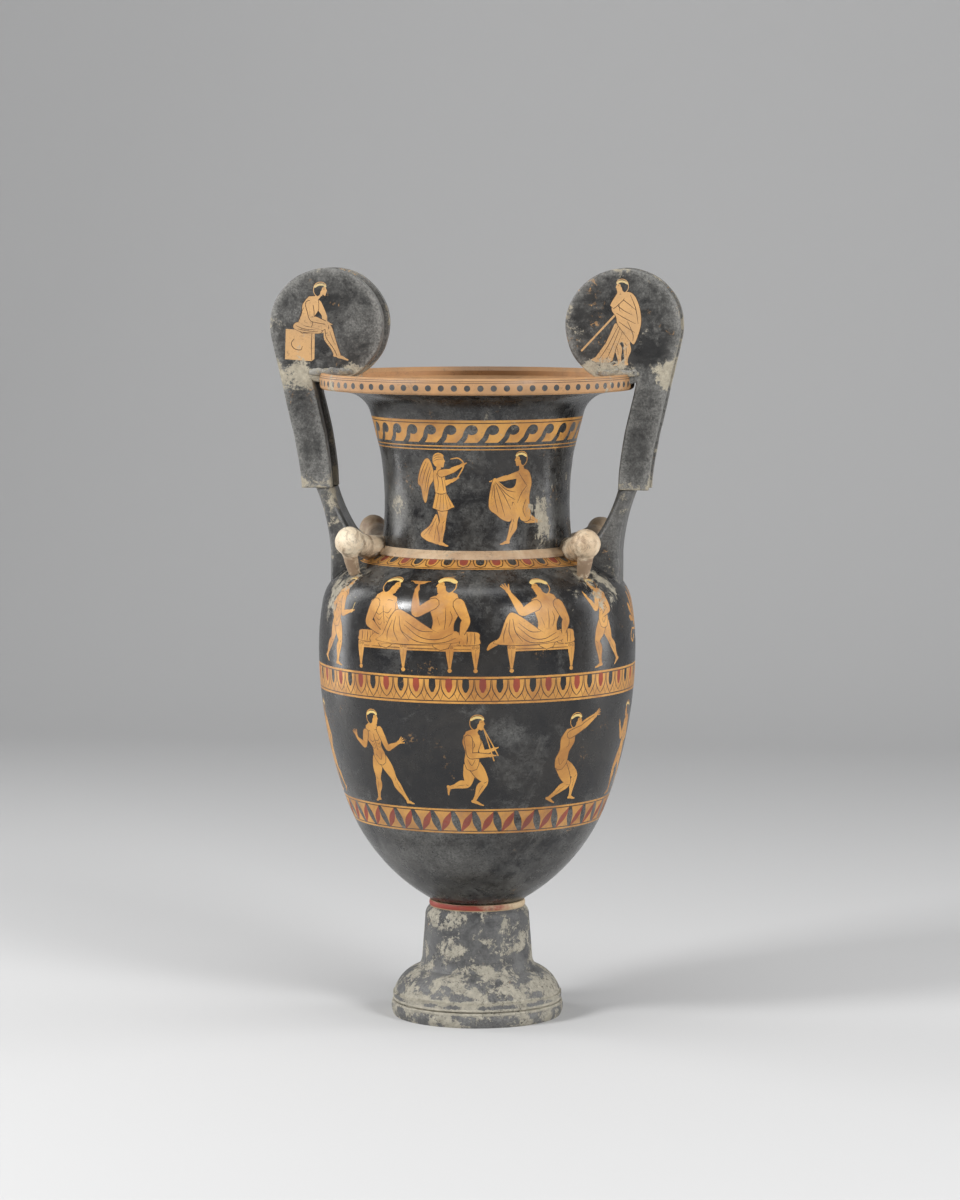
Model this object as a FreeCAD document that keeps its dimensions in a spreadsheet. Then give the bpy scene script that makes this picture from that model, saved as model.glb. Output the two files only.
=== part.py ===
import FreeCAD, Part
import math
import os

import Sketcher

# Volute krater of fired clay. Millimetres and degrees, +Z up, origin at the middle of the
# foot's resting face, handles to -X and +X, front towards -Y.

os.makedirs("parts", exist_ok=True)
doc = FreeCAD.newDocument("volute_krater")
sheet = doc.addObject("Spreadsheet::Sheet", "Sizes")

# Driving sizes. A lean is the wall's tilt from upright, positive where it closes going up.
# A curve is the radius of the arc that joins two stations of an outline.
SIZES = {
    # Plinth, the lowest ring of the foot
    "plinth_height": 12.5,
    "plinth_sole_radius": 71.5,
    "plinth_top_radius": 72.8,
    "plinth_curve": 14.0,
    "sole_hollow_radius": 60.0,
    # Foot base, the stepped and rounded disc
    "base_height": 28.9,
    "base_radius": 72.3,
    "base_band_height": 6.0,
    "base_seam_depth": 1.8,
    "base_seam_height": 1.4,
    "base_groove_depth": 1.3,
    "base_groove_height": 1.6,
    "base_curve": 30.5,
    "base_top_radius": 50.6,
    # Stem of the foot, a short bell
    "stem_cove_radius": 47.2,
    "stem_cove_rise": 10.5,
    "stem_cove_curve": 16.0,
    "stem_waist_radius": 44.6,
    "stem_waist_rise": 33.1,
    "stem_shoulder_curve": 11.5,
    "stem_shoulder_rise": 9.2,
    "stem_top_radius": 40.8,
    "stem_bore_low": 38.0,
    "stem_bore_high": 30.0,
    # Ring between the foot and the body
    "joint_ring_height": 5.3,
    "joint_ring_radius": 40.4,
    "joint_ring_curve": 5.0,
    # Body, from its seat on the joint ring to its mouth
    "body_wall": 7.0,
    "body_floor": 8.0,
    "body_floor_radius": 34.0,
    "body_seat_radius": 38.0,
    "bowl_curve": 162.6,
    "flank_radius": 111.1,
    "flank_rise": 85.1,
    "flank_lean": -20.5,
    "flank_curve": 381.3,
    "belly_radius": 135.2,
    "belly_rise": 133.4,
    "haunch_curve": 224.0,
    "haunch_radius": 131.8,
    "haunch_rise": 38.9,
    "haunch_lean": 10.0,
    "shoulder_curve": 37.2,
    "shoulder_radius": 114.8,
    "shoulder_rise": 25.6,
    "shoulder_lean": 58.7,
    "collar_rise": 16.3,
    "body_top_radius": 88.0,
    "throat_radius": 76.0,
    "throat_edge": 4.0,
    # Neck, from its seat on the body to the flared lip
    "neck_wall": 6.0,
    "neck_seat_radius": 82.0,
    "neck_low_curve": 280.0,
    "neck_waist_radius": 78.8,
    "neck_waist_rise": 42.2,
    "neck_high_curve": 263.5,
    "neck_mid_radius": 82.5,
    "neck_mid_rise": 44.0,
    "neck_mid_lean": -12.0,
    "neck_band_radius": 90.5,
    "neck_band_rise": 31.6,
    "neck_band_lean": -14.0,
    "flare_curve": 24.0,
    "flare_radius": 109.6,
    "flare_rise": 18.0,
    "flare_lean": -80.0,
    "lip_radius": 126.0,
    "lip_rise": 2.9,
    # Moulding round the foot of the neck
    "neck_ring_height": 6.8,
    "neck_ring_edge": 2.6,
    # Rim moulding round the lip
    "rim_wall": 7.2,
    "rim_height": 13.5,
    "rim_curve": 22.0,
    "rim_low_edge": 1.4,
    "rim_top_edge": 1.3,
    "rim_shoulder": 0.8,
    "rim_inner_slope": 3.4,
    # Handles: two flat plates with a strap between them, on a rounded root
    "handle_depth": 47.0,
    "plate_thickness": 10.0,
    "plate_edge_round": 1.6,
    "strap_recess": 4.0,
    "volute_radius": 48.7,
    "volute_sink": 8.6,
    "volute_seat_angle": 13.0,
    "handle_lean": 13.0,
    "panel_bend_drop": 49.5,
    "panel_foot_drop": 48.5,
    "panel_curve": 360.0,
    "panel_foot_overhang": 21.8,
    "panel_foot_width": 26.0,
    "panel_bend_width": 28.0,
    "root_thickness": 14.5,
    "root_depth": 42.0,
    "root_round": 6.0,
    "root_outer_curve": 170.0,
    "root_overhang": 9.0,
    "root_waist_rise": 1.2,
    "root_bend_offset": 2.1,
    "root_bend_rise": 20.2,
    "root_inner_curve": 140.0,
    "root_cove_curve": 25.0,
    "root_toe_inset": 2.0,
    "root_toe_rise": 8.7,
    "root_sink": 30.0,
    # Bird heads on the shoulder, two beside each handle root
    "bird_bearing": 12.0,
    "bird_yaw": 69.3,
    "bird_neck_radius": 13.0,
    "bird_throat_radius": 9.0,
    "bird_reach": 54.5,
    "bird_rise": 12.6,
    "bird_neck_start": 1.0,
    "head_length": 13.2,
    "head_width": 11.8,
    "head_height": 12.4,
    "bill_length": 17.5,
    "bill_width": 5.6,
    "bill_thickness": 4.0,
    "bill_slope": 24.0,
    "bill_setback": 4.5,
    "bill_drop": 13.5,
    # Clay smeared where the volutes are luted to the rim
    "smear_half_length": 19.0,
    "smear_thickness": 3.4,
    "smear_curve": 26.0,
    "smear_inset": 4.0,
}
for row, (alias, value) in enumerate(SIZES.items(), start=1):
    sheet.set(f"A{row}", alias)
    sheet.set(f"B{row}", str(value))
    sheet.setAlias(f"B{row}", alias)
doc.recompute()


def cell(alias):
    """The expression that reads one cell of the sheet."""
    return f"Sizes.{alias}"


def number(expression):
    """The value that an expression has now."""
    return float(sheet.evalExpression(expression))


# Levels within a piece, each measured up from the one below it
COVE_LEVEL = cell("stem_cove_rise")
WAIST_LEVEL = f"({COVE_LEVEL} + {cell('stem_waist_rise')})"
STEM_HEIGHT = f"({WAIST_LEVEL} + {cell('stem_shoulder_rise')})"
FLANK_LEVEL = cell("flank_rise")
BELLY_LEVEL = f"({FLANK_LEVEL} + {cell('belly_rise')})"
HAUNCH_LEVEL = f"({BELLY_LEVEL} + {cell('haunch_rise')})"
SHOULDER_LEVEL = f"({HAUNCH_LEVEL} + {cell('shoulder_rise')})"
BODY_HEIGHT = f"({SHOULDER_LEVEL} + {cell('collar_rise')})"
NECK_WAIST_LEVEL = cell("neck_waist_rise")
NECK_MID_LEVEL = f"({NECK_WAIST_LEVEL} + {cell('neck_mid_rise')})"
NECK_BAND_LEVEL = f"({NECK_MID_LEVEL} + {cell('neck_band_rise')})"
FLARE_LEVEL = f"({NECK_BAND_LEVEL} + {cell('flare_rise')})"
LIP_LEVEL = f"({FLARE_LEVEL} + {cell('lip_rise')})"

# Levels of the stacked pieces above the floor
PLINTH_TOP = cell("plinth_height")
BASE_TOP = f"({PLINTH_TOP} + {cell('base_height')})"
STEM_TOP = f"({BASE_TOP} + {STEM_HEIGHT})"
BODY_SEAT = f"({STEM_TOP} + {cell('joint_ring_height')})"
NECK_SEAT = f"({BODY_SEAT} + {BODY_HEIGHT})"
RIM_SEAT = f"({NECK_SEAT} + {LIP_LEVEL})"
RIM_TOP = f"({RIM_SEAT} + {cell('rim_height')})"


def arc_between(start, end, radius, turn, beyond_half):
    """The arc from start to end that turns left or right, with the end that comes first."""
    chord = end - start
    middle = (start + end) / 2
    across = FreeCAD.Vector(-chord.y, chord.x, 0).normalize()
    rise = math.sqrt(max(radius**2 - (chord.Length / 2) ** 2, 0))
    towards = 1 if (turn == "left") != beyond_half else -1
    centre = middle + across * rise * towards
    first, last = (start, end) if turn == "left" else (end, start)
    angles = [math.atan2(p.y - centre.y, p.x - centre.x) for p in (first, last)]
    circle = Part.Circle(centre, FreeCAD.Vector(0, 0, 1), radius)
    return Part.ArcOfCircle(circle, angles[0], angles[1])


def outline(body, name, corners, lift=None):
    """A closed outline on the body's XZ plane. Each corner is (reach, level) or, where an
    arc leads to the next corner, (reach, level, curve, turn) with an optional fifth item
    for an arc of more than half a turn."""
    sketch = body.newObject("Sketcher::SketchObject", name)
    plane = [f for f in body.Origin.OriginFeatures if f.Role == "XZ_Plane"][0]
    sketch.AttachmentSupport = (plane, [""])
    sketch.MapMode = "FlatFace"
    if lift:
        sketch.setExpression("AttachmentOffset.Base.z", lift)
    spots = [FreeCAD.Vector(number(c[0]), number(c[1]), 0) for c in corners]
    ends = []
    for index, corner in enumerate(corners):
        start, end = spots[index], spots[(index + 1) % len(spots)]
        if len(corner) == 2:
            sketch.addGeometry(Part.LineSegment(start, end), False)
            ends.append((1, 2))
        else:
            beyond_half = len(corner) > 4
            edge = arc_between(start, end, number(corner[2]), corner[3], beyond_half)
            sketch.addGeometry(edge, False)
            ends.append((1, 2) if corner[3] == "left" else (2, 1))
    for index, corner in enumerate(corners):
        after = (index + 1) % len(corners)
        place = (index, ends[index][0])
        sketch.addConstraint(
            Sketcher.Constraint("Coincident", index, ends[index][1], after, ends[after][0])
        )
        for kind, axis, distance in (("DistanceX", -2, corner[0]), ("DistanceY", -1, corner[1])):
            if distance == "0":
                sketch.addConstraint(Sketcher.Constraint("PointOnObject", *place, axis))
                continue
            made = sketch.addConstraint(
                Sketcher.Constraint(kind, -1, 1, *place, number(distance))
            )
            sketch.setExpression(f"Constraints[{made}]", distance)
        if len(corner) > 2:
            made = sketch.addConstraint(Sketcher.Constraint("Radius", index, number(corner[2])))
            sketch.setExpression(f"Constraints[{made}]", corner[2])
    return sketch


def turned(label, corners, seat):
    """A piece thrown on the wheel: its wall's outline turned once round the axis."""
    body = doc.addObject("PartDesign::Body", label)
    body.Label = label
    sketch = outline(body, f"{label}_outline", corners)
    turning = body.newObject("PartDesign::Revolution", f"{label}_turning")
    turning.Profile = sketch
    turning.ReferenceAxis = (sketch, ["V_Axis"])
    turning.Angle = 360
    # The seam of the turned faces is at the back, clear of the handles
    body.Placement.Rotation = FreeCAD.Rotation(FreeCAD.Vector(0, 0, 1), 90)
    if seat:
        body.setExpression("Placement.Base.z", seat)
    return body


def fitted(label, blank, neighbours):
    """A blank trimmed to lie on its neighbours, as wet clay is pressed onto them."""
    piece = blank
    for count, neighbour in enumerate(neighbours, start=1):
        trimmed = doc.addObject("Part::Cut", f"{label}_fit_{count}")
        trimmed.Base = piece
        trimmed.Tool = neighbour
        piece = trimmed
    piece.Label = label
    return piece


def inward(radius, level, lean, wall):
    """The station of an inner wall that lies one wall in from an outer station."""
    return (
        f"{cell(radius)} - {cell(wall)} * cos({cell(lean)})",
        f"{level} - {cell(wall)} * sin({cell(lean)})",
    )


# Foot plinth: a ring with a rounded edge, hollow below
plinth = turned(
    "foot_plinth",
    [
        (cell("sole_hollow_radius"), "0"),
        (cell("plinth_sole_radius"), "0", cell("plinth_curve"), "left"),
        (cell("plinth_top_radius"), cell("plinth_height")),
        (cell("sole_hollow_radius"), cell("plinth_height")),
    ],
    None,
)

# Foot base: a seam, a flat band, a groove and a rounded top down to the stem
band_low = cell("base_seam_height")
band_high = f"{band_low} + {cell('base_band_height')}"
groove_high = f"{band_high} + {cell('base_groove_height')}"
seam_radius = f"{cell('base_radius')} - {cell('base_seam_depth')}"
groove_radius = f"{cell('base_radius')} - {cell('base_groove_depth')}"
base = turned(
    "foot_base",
    [
        (cell("sole_hollow_radius"), "0"),
        (seam_radius, "0"),
        (seam_radius, band_low),
        (cell("base_radius"), band_low),
        (cell("base_radius"), band_high),
        (groove_radius, band_high),
        (groove_radius, groove_high, cell("base_curve"), "left"),
        (cell("base_top_radius"), cell("base_height")),
        (cell("stem_bore_low"), cell("base_height")),
    ],
    PLINTH_TOP,
)

# Stem: a cove at the bottom, an almost upright wall and a rounded shoulder
stem = turned(
    "foot_stem",
    [
        (cell("stem_bore_low"), "0"),
        (cell("base_top_radius"), "0", cell("stem_cove_curve"), "right"),
        (cell("stem_cove_radius"), COVE_LEVEL),
        (cell("stem_waist_radius"), WAIST_LEVEL, cell("stem_shoulder_curve"), "left"),
        (cell("stem_top_radius"), STEM_HEIGHT),
        (cell("stem_bore_high"), STEM_HEIGHT),
    ],
    BASE_TOP,
)

# Joint ring: a narrow half-round band that hides the join of foot and body
joint_ring = turned(
    "foot_joint_ring",
    [
        (cell("stem_bore_high"), "0"),
        (cell("joint_ring_radius"), "0", cell("joint_ring_curve"), "left"),
        (cell("joint_ring_radius"), cell("joint_ring_height")),
        (cell("stem_bore_high"), cell("joint_ring_height")),
    ],
    STEM_TOP,
)

# Body: an egg-shaped wall from the floor up to the sloping shoulder
inner_flank = inward("flank_radius", FLANK_LEVEL, "flank_lean", "body_wall")
inner_haunch = inward("haunch_radius", HAUNCH_LEVEL, "haunch_lean", "body_wall")
inner_shoulder = inward("shoulder_radius", SHOULDER_LEVEL, "shoulder_lean", "body_wall")
body_outside = [
    ("0", "0"),
    (cell("body_seat_radius"), "0", cell("bowl_curve"), "left"),
    (cell("flank_radius"), FLANK_LEVEL, cell("flank_curve"), "left"),
    (cell("belly_radius"), BELLY_LEVEL, cell("haunch_curve"), "left"),
    (cell("haunch_radius"), HAUNCH_LEVEL, cell("shoulder_curve"), "left"),
    (cell("shoulder_radius"), SHOULDER_LEVEL),
    (cell("body_top_radius"), BODY_HEIGHT),
]
body_inside = [
    (cell("throat_radius"), BODY_HEIGHT),
    (cell("throat_radius"), f"{BODY_HEIGHT} - {cell('throat_edge')}"),
    (*inner_shoulder, f"{cell('shoulder_curve')} - {cell('body_wall')}", "right"),
    (*inner_haunch, f"{cell('haunch_curve')} - {cell('body_wall')}", "right"),
    (
        f"{cell('belly_radius')} - {cell('body_wall')}",
        BELLY_LEVEL,
        f"{cell('flank_curve')} - {cell('body_wall')}",
        "right",
    ),
    (*inner_flank, f"{cell('bowl_curve')} - {cell('body_wall')}", "right"),
    (cell("body_floor_radius"), cell("body_floor")),
    ("0", cell("body_floor")),
]
body = turned("body", body_outside + body_inside, BODY_SEAT)

# Neck: a waisted tube that opens to a nearly flat lip
inner_mid = inward("neck_mid_radius", NECK_MID_LEVEL, "neck_mid_lean", "neck_wall")
inner_band = inward("neck_band_radius", NECK_BAND_LEVEL, "neck_band_lean", "neck_wall")
inner_flare = inward("flare_radius", FLARE_LEVEL, "flare_lean", "neck_wall")
neck = turned(
    "neck",
    [
        (cell("throat_radius"), "0"),
        (cell("neck_seat_radius"), "0", cell("neck_low_curve"), "right"),
        (cell("neck_waist_radius"), NECK_WAIST_LEVEL, cell("neck_high_curve"), "right"),
        (cell("neck_mid_radius"), NECK_MID_LEVEL),
        (cell("neck_band_radius"), NECK_BAND_LEVEL, cell("flare_curve"), "right"),
        (cell("flare_radius"), FLARE_LEVEL),
        (cell("lip_radius"), LIP_LEVEL),
        (cell("lip_radius"), f"{LIP_LEVEL} + {cell('neck_wall')}"),
        (*inner_flare, f"{cell('flare_curve')} + {cell('neck_wall')}", "left"),
        inner_band,
        (*inner_mid, f"{cell('neck_high_curve')} + {cell('neck_wall')}", "left"),
        (
            f"{cell('neck_waist_radius')} - {cell('neck_wall')}",
            NECK_WAIST_LEVEL,
            f"{cell('neck_low_curve')} + {cell('neck_wall')}",
            "left",
        ),
    ],
    NECK_SEAT,
)

# Filled forms of the body and the neck's foot, which trim what is luted onto them
body_form = turned("body_form", body_outside + [("0", BODY_HEIGHT)], BODY_SEAT)
neck_form = turned(
    "neck_form",
    [
        ("0", "0"),
        (cell("neck_seat_radius"), "0", cell("neck_low_curve"), "right"),
        (cell("neck_waist_radius"), NECK_WAIST_LEVEL),
        ("0", NECK_WAIST_LEVEL),
    ],
    NECK_SEAT,
)

# Neck ring: a pale wedge of clay in the corner between neck and shoulder
neck_ring_blank = turned(
    "neck_ring_blank",
    [
        (cell("throat_radius"), "0"),
        (cell("body_top_radius"), "0"),
        (cell("body_top_radius"), cell("neck_ring_edge")),
        (cell("neck_seat_radius"), cell("neck_ring_height")),
        (cell("throat_radius"), cell("neck_ring_height")),
    ],
    NECK_SEAT,
)
neck_ring = fitted("neck_ring", neck_ring_blank, [neck])

# Rim: a full band round the lip that stands above it
rim_radius = f"{cell('lip_radius')} + {cell('rim_wall')}"
rim = turned(
    "rim",
    [
        (cell("lip_radius"), "0"),
        (f"{rim_radius} - {cell('rim_low_edge')}", "0"),
        (rim_radius, cell("rim_low_edge"), cell("rim_curve"), "left"),
        (rim_radius, f"{cell('rim_height')} - {cell('rim_top_edge')}"),
        (f"{rim_radius} - {cell('rim_shoulder')}", cell("rim_height")),
        (f"{cell('lip_radius')} + {cell('rim_inner_slope')}", cell("rim_height")),
        (cell("lip_radius"), f"{cell('rim_height')} - {cell('rim_inner_slope')}"),
    ],
    RIM_SEAT,
)

# Stations of the handle, seen from the front on the right-hand side
VOLUTE_REACH = cell("lip_radius")
VOLUTE_LEVEL = f"({RIM_TOP} + {cell('volute_radius')} - {cell('volute_sink')})"
BEND_LEVEL = f"({RIM_TOP} - {cell('panel_bend_drop')})"
PANEL_FOOT = f"({BEND_LEVEL} - {cell('panel_foot_drop')})"
PANEL_REACH = f"({cell('lip_radius')} + {cell('panel_foot_overhang')})"
PLATE_INNER = f"({cell('handle_depth')} / 2 - {cell('plate_thickness')})"


def handle_outline(inset):
    """The P shape of a plate, or of the strap where it is drawn in by an inset."""
    radius = f"({cell('volute_radius')} - {inset})"
    lean = cell("handle_lean")
    outer_reach = f"({VOLUTE_REACH} + {cell('volute_radius')} * cos({lean}))"
    outer_level = f"({VOLUTE_LEVEL} - {cell('volute_radius')} * sin({lean}))"
    bend_reach = f"({outer_reach} - ({outer_level} - {BEND_LEVEL}) * tan({lean}))"
    seat_offset = f"({cell('volute_radius')} * sin({cell('volute_seat_angle')}) + {inset})"
    inner_reach = f"({PANEL_REACH} - {cell('panel_foot_width')})"
    return [
        (
            f"{VOLUTE_REACH} + {seat_offset}",
            f"{VOLUTE_LEVEL} - sqrt({radius}^2 - {seat_offset}^2)",
            radius,
            "right",
            "beyond half",
        ),
        (f"{VOLUTE_REACH} + {radius} * cos({lean})", f"{VOLUTE_LEVEL} - {radius} * sin({lean})"),
        (f"{bend_reach} - {inset}", BEND_LEVEL, cell("panel_curve"), "left"),
        (f"{PANEL_REACH} - {inset}", PANEL_FOOT),
        (f"{inner_reach} + {inset}", PANEL_FOOT, cell("panel_curve"), "right"),
        (f"{bend_reach} - {cell('panel_bend_width')} + {inset}", BEND_LEVEL),
    ]


def padded(label, corners, depth, turn, lift=None):
    """A slab cut to an outline, as deep as given, turned about the axis to its side."""
    slab = doc.addObject("PartDesign::Body", label)
    slab.Label = label
    sketch = outline(slab, f"{label}_outline", corners, lift)
    pad = slab.newObject("PartDesign::Pad", f"{label}_slab")
    pad.Profile = sketch
    pad.setExpression("Length", depth)
    pad.Midplane = lift is None
    slab.Placement = FreeCAD.Placement(
        FreeCAD.Vector(0, 0, 0), FreeCAD.Rotation(FreeCAD.Vector(0, 0, 1), turn)
    )
    return slab


def rounded(slab, label, edges, radius):
    """The slab with the named edges of its last feature rounded."""
    doc.recompute()
    last = slab.Tip
    names = [f"Edge{i}" for i, edge in enumerate(last.Shape.Edges, start=1) if edges(edge)]
    fillet = slab.newObject("PartDesign::Fillet", f"{label}_rounding")
    fillet.Base = (last, names)
    fillet.setExpression("Radius", radius)
    return fillet


def plate(label, is_front, turn):
    """One flat face of a handle, its outer edges softened with a wet thumb."""
    lift = PLATE_INNER if is_front else f"-{cell('handle_depth')} / 2"
    slab = padded(label, handle_outline("0"), cell("plate_thickness"), turn, lift)
    face = number(cell("handle_depth")) / 2
    foot = number(PANEL_FOOT)

    def is_outer(edge):
        box = edge.BoundBox
        lies_on_face = min(abs(abs(box.YMin) - face), abs(abs(box.YMax) - face)) < 1e-6
        return lies_on_face and box.YLength < 1e-6 and box.ZMax > foot + 1

    rounded(slab, label, is_outer, cell("plate_edge_round"))
    return slab


ROOT_TOE_REACH = f"({cell('body_top_radius')} - {cell('root_toe_inset')})"


def root_outline():
    """The side of a handle root, from the panel's foot down into the shoulder."""
    inner_reach = f"({PANEL_REACH} - {cell('panel_foot_width')})"
    waist_reach = f"({cell('shoulder_radius')} + {cell('root_overhang')})"
    low_level = f"{NECK_SEAT} - {cell('root_sink')}"
    toe_level = f"{NECK_SEAT} + {cell('root_toe_rise')}"
    bend_reach = f"(({waist_reach} + {ROOT_TOE_REACH}) / 2 + {cell('root_bend_offset')})"
    bend_level = f"{NECK_SEAT} + {cell('root_bend_rise')}"
    outer_curve = cell("root_outer_curve")
    return [
        (inner_reach, PANEL_FOOT),
        (f"{inner_reach} + {cell('root_thickness')}", PANEL_FOOT, outer_curve, "left"),
        (waist_reach, f"{NECK_SEAT} + {cell('root_waist_rise')}"),
        (waist_reach, low_level),
        (ROOT_TOE_REACH, low_level),
        (ROOT_TOE_REACH, toe_level, cell("root_cove_curve"), "left"),
        (bend_reach, bend_level, cell("root_inner_curve"), "left"),
    ]


def root(label, turn):
    """The rounded bar that carries a handle on the shoulder."""
    bar = padded(f"{label}_blank", root_outline(), cell("root_depth"), turn)
    top = number(PANEL_FOOT)
    low = number(NECK_SEAT)
    toe = number(ROOT_TOE_REACH)

    def is_long(edge):
        box = edge.BoundBox
        runs_down = box.YLength < 1e-6 and box.ZMin < top - 1 and box.ZMax > low
        return runs_down and box.XMax > toe + 1

    rounded(bar, f"{label}_blank", is_long, cell("root_round"))
    return fitted(label, bar, [body_form, neck_ring])


HANDLES = {"left": 180, "right": 0}
plates = {}
straps = {}
roots = {}
pieces = [plinth, base, stem, joint_ring, body, neck, neck_ring, rim]
for side, turn in HANDLES.items():
    # A half turn carries the front face to the back
    for end, is_front in (("front", turn == 0), ("back", turn != 0)):
        blank = plate(f"{side}_{end}_volute_blank", is_front, turn)
        plates[side, end] = fitted(f"{side}_{end}_volute", blank, [rim, neck])
        pieces.append(plates[side, end])
    strap_depth = f"{cell('handle_depth')} - 2 * {cell('plate_thickness')}"
    blank = padded(f"{side}_strap_blank", handle_outline(cell("strap_recess")), strap_depth, turn)
    straps[side] = fitted(f"{side}_handle_strap", blank, [rim, neck])
    roots[side] = root(f"{side}_handle_root", turn)
    pieces += [straps[side], roots[side]]


def ellipsoid(name, length, width, height):
    """An egg of clay with its half length along X, half width along Y."""
    egg = doc.addObject("Part::Ellipsoid", name)
    egg.setExpression("Radius1", height)
    egg.setExpression("Radius2", length)
    egg.setExpression("Radius3", width)
    return egg


def bird_head(label, along, across):
    """A duck's head on a thick neck, its bill pressed down on the shoulder. The signs
    along and across say which side of the handle it stands on."""
    head_sizes = [cell(size) for size in ("head_length", "head_width", "head_height")]
    head = ellipsoid(f"{label}_head", *head_sizes)
    head.setExpression("Placement.Base.x", cell("bird_reach"))
    head.setExpression("Placement.Base.z", cell("bird_rise"))
    throat = doc.addObject("Part::Cone", f"{label}_throat")
    throat.setExpression("Radius1", cell("bird_neck_radius"))
    throat.setExpression("Radius2", cell("bird_throat_radius"))
    throat.setExpression("Height", cell("bird_reach"))
    throat.Placement.Rotation = FreeCAD.Rotation(FreeCAD.Vector(0, 1, 0), 90)
    rise = f"atan(({cell('bird_rise')} - {cell('bird_neck_start')}) / {cell('bird_reach')})"
    throat.setExpression("Placement.Rotation.Angle", f"90 deg - {rise}")
    throat.setExpression("Placement.Base.z", cell("bird_neck_start"))
    bill_sizes = [cell(size) for size in ("bill_thickness", "bill_width", "bill_length")]
    bill = ellipsoid(f"{label}_bill", *bill_sizes)
    bill.Placement.Rotation = FreeCAD.Rotation(FreeCAD.Vector(0, 1, 0), 1)
    bill.setExpression("Placement.Rotation.Angle", f"{cell('bill_slope')} * 1 deg")
    bill.setExpression("Placement.Base.x", f"{cell('bird_reach')} - {cell('bill_setback')}")
    bill.setExpression("Placement.Base.z", f"{cell('bird_rise')} - {cell('bill_drop')}")
    whole = doc.addObject("Part::MultiFuse", f"{label}_blank")
    whole.Shapes = [head, throat, bill]
    seat_radius = cell("neck_seat_radius")
    bearing = cell("bird_bearing")
    whole.setExpression("Placement.Base.x", f"{along} * {seat_radius} * cos({bearing})")
    whole.setExpression("Placement.Base.y", f"{across} * {seat_radius} * sin({bearing})")
    whole.setExpression("Placement.Base.z", NECK_SEAT)
    whole.Placement.Rotation = FreeCAD.Rotation(FreeCAD.Vector(0, 0, 1), 1)
    turned_out = f"{across} * {cell('bird_yaw')}"
    heading = turned_out if along > 0 else f"180 - {turned_out}"
    whole.setExpression("Placement.Rotation.Angle", f"({heading}) * 1 deg")
    side = "right" if along > 0 else "left"
    return fitted(label, whole, [body_form, neck_form, neck_ring, roots[side]])


def smear_outline():
    """A lens of clay that lies along the rim's top, pointed at both ends."""
    half = cell("smear_half_length")
    middle = f"{cell('lip_radius')} - {cell('smear_inset')}"
    return [
        (f"{middle} - {half}", RIM_TOP, cell("smear_curve"), "left"),
        (f"{middle} + {half}", RIM_TOP, cell("smear_curve"), "left"),
    ]


def smear(label, is_front, turn):
    """Clay pressed into the corner between a volute's face and the rim."""
    out = f"{cell('handle_depth')} / 2"
    lift = out if is_front else f"-{out} - {cell('smear_thickness')}"
    lump = padded(f"{label}_blank", smear_outline(), cell("smear_thickness"), turn, lift)
    return fitted(label, lump, [rim, neck])


for side, turn in HANDLES.items():
    along = -1 if turn else 1
    for end, across in (("front", -1), ("back", 1)):
        pieces.append(bird_head(f"{side}_{end}_bird_head", along, across))
        is_front = (end == "front") == (turn == 0)
        pieces.append(smear(f"{side}_{end}_rim_luting", is_front, turn))

doc.recompute()

for made in doc.Objects:
    if {"Invalid", "Error"} & set(made.State):
        raise RuntimeError(f"{made.Label} failed: {made.State}")
for piece in pieces:
    shape = piece.Shape
    if shape.isNull() or not shape.isValid() or not shape.Solids:
        raise RuntimeError(f"{piece.Label} has no valid solid")
    print(f"{piece.Label}: {len(shape.Solids)} solid, {shape.Volume / 1000:.1f} ml")
    shape.exportStep(f"parts/{piece.Label}.step")
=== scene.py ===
import math

import bpy
import numpy as np
from mathutils import Matrix, Vector, noise
from mathutils.geometry import delaunay_2d_cdt


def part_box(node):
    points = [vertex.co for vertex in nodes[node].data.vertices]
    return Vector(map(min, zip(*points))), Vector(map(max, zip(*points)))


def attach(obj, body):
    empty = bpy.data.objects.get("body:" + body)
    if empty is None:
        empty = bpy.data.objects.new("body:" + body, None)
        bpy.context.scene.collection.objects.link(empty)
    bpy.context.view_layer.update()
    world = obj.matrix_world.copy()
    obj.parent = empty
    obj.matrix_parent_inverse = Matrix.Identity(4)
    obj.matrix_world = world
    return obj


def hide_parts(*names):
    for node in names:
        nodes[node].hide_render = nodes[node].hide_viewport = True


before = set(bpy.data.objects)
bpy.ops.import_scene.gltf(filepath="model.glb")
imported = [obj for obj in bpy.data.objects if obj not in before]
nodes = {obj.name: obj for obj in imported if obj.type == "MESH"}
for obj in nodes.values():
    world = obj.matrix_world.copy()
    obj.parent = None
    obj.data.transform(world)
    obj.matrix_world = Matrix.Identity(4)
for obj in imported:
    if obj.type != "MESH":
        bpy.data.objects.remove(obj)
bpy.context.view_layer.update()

# Foot: a hollow plinth, a stepped base and a bell-shaped stem, thrown apart and stuck together
# with wet clay. Black slip once covered it; most is now grey and hidden by a cream crust.
MM = 0.001
CRUST_COLOUR = (0.46, 0.41, 0.31, 1)
FILM_COLOUR = (0.215, 0.213, 0.20, 1)
CLAY_COLOUR = (0.60, 0.33, 0.125, 1)


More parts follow.
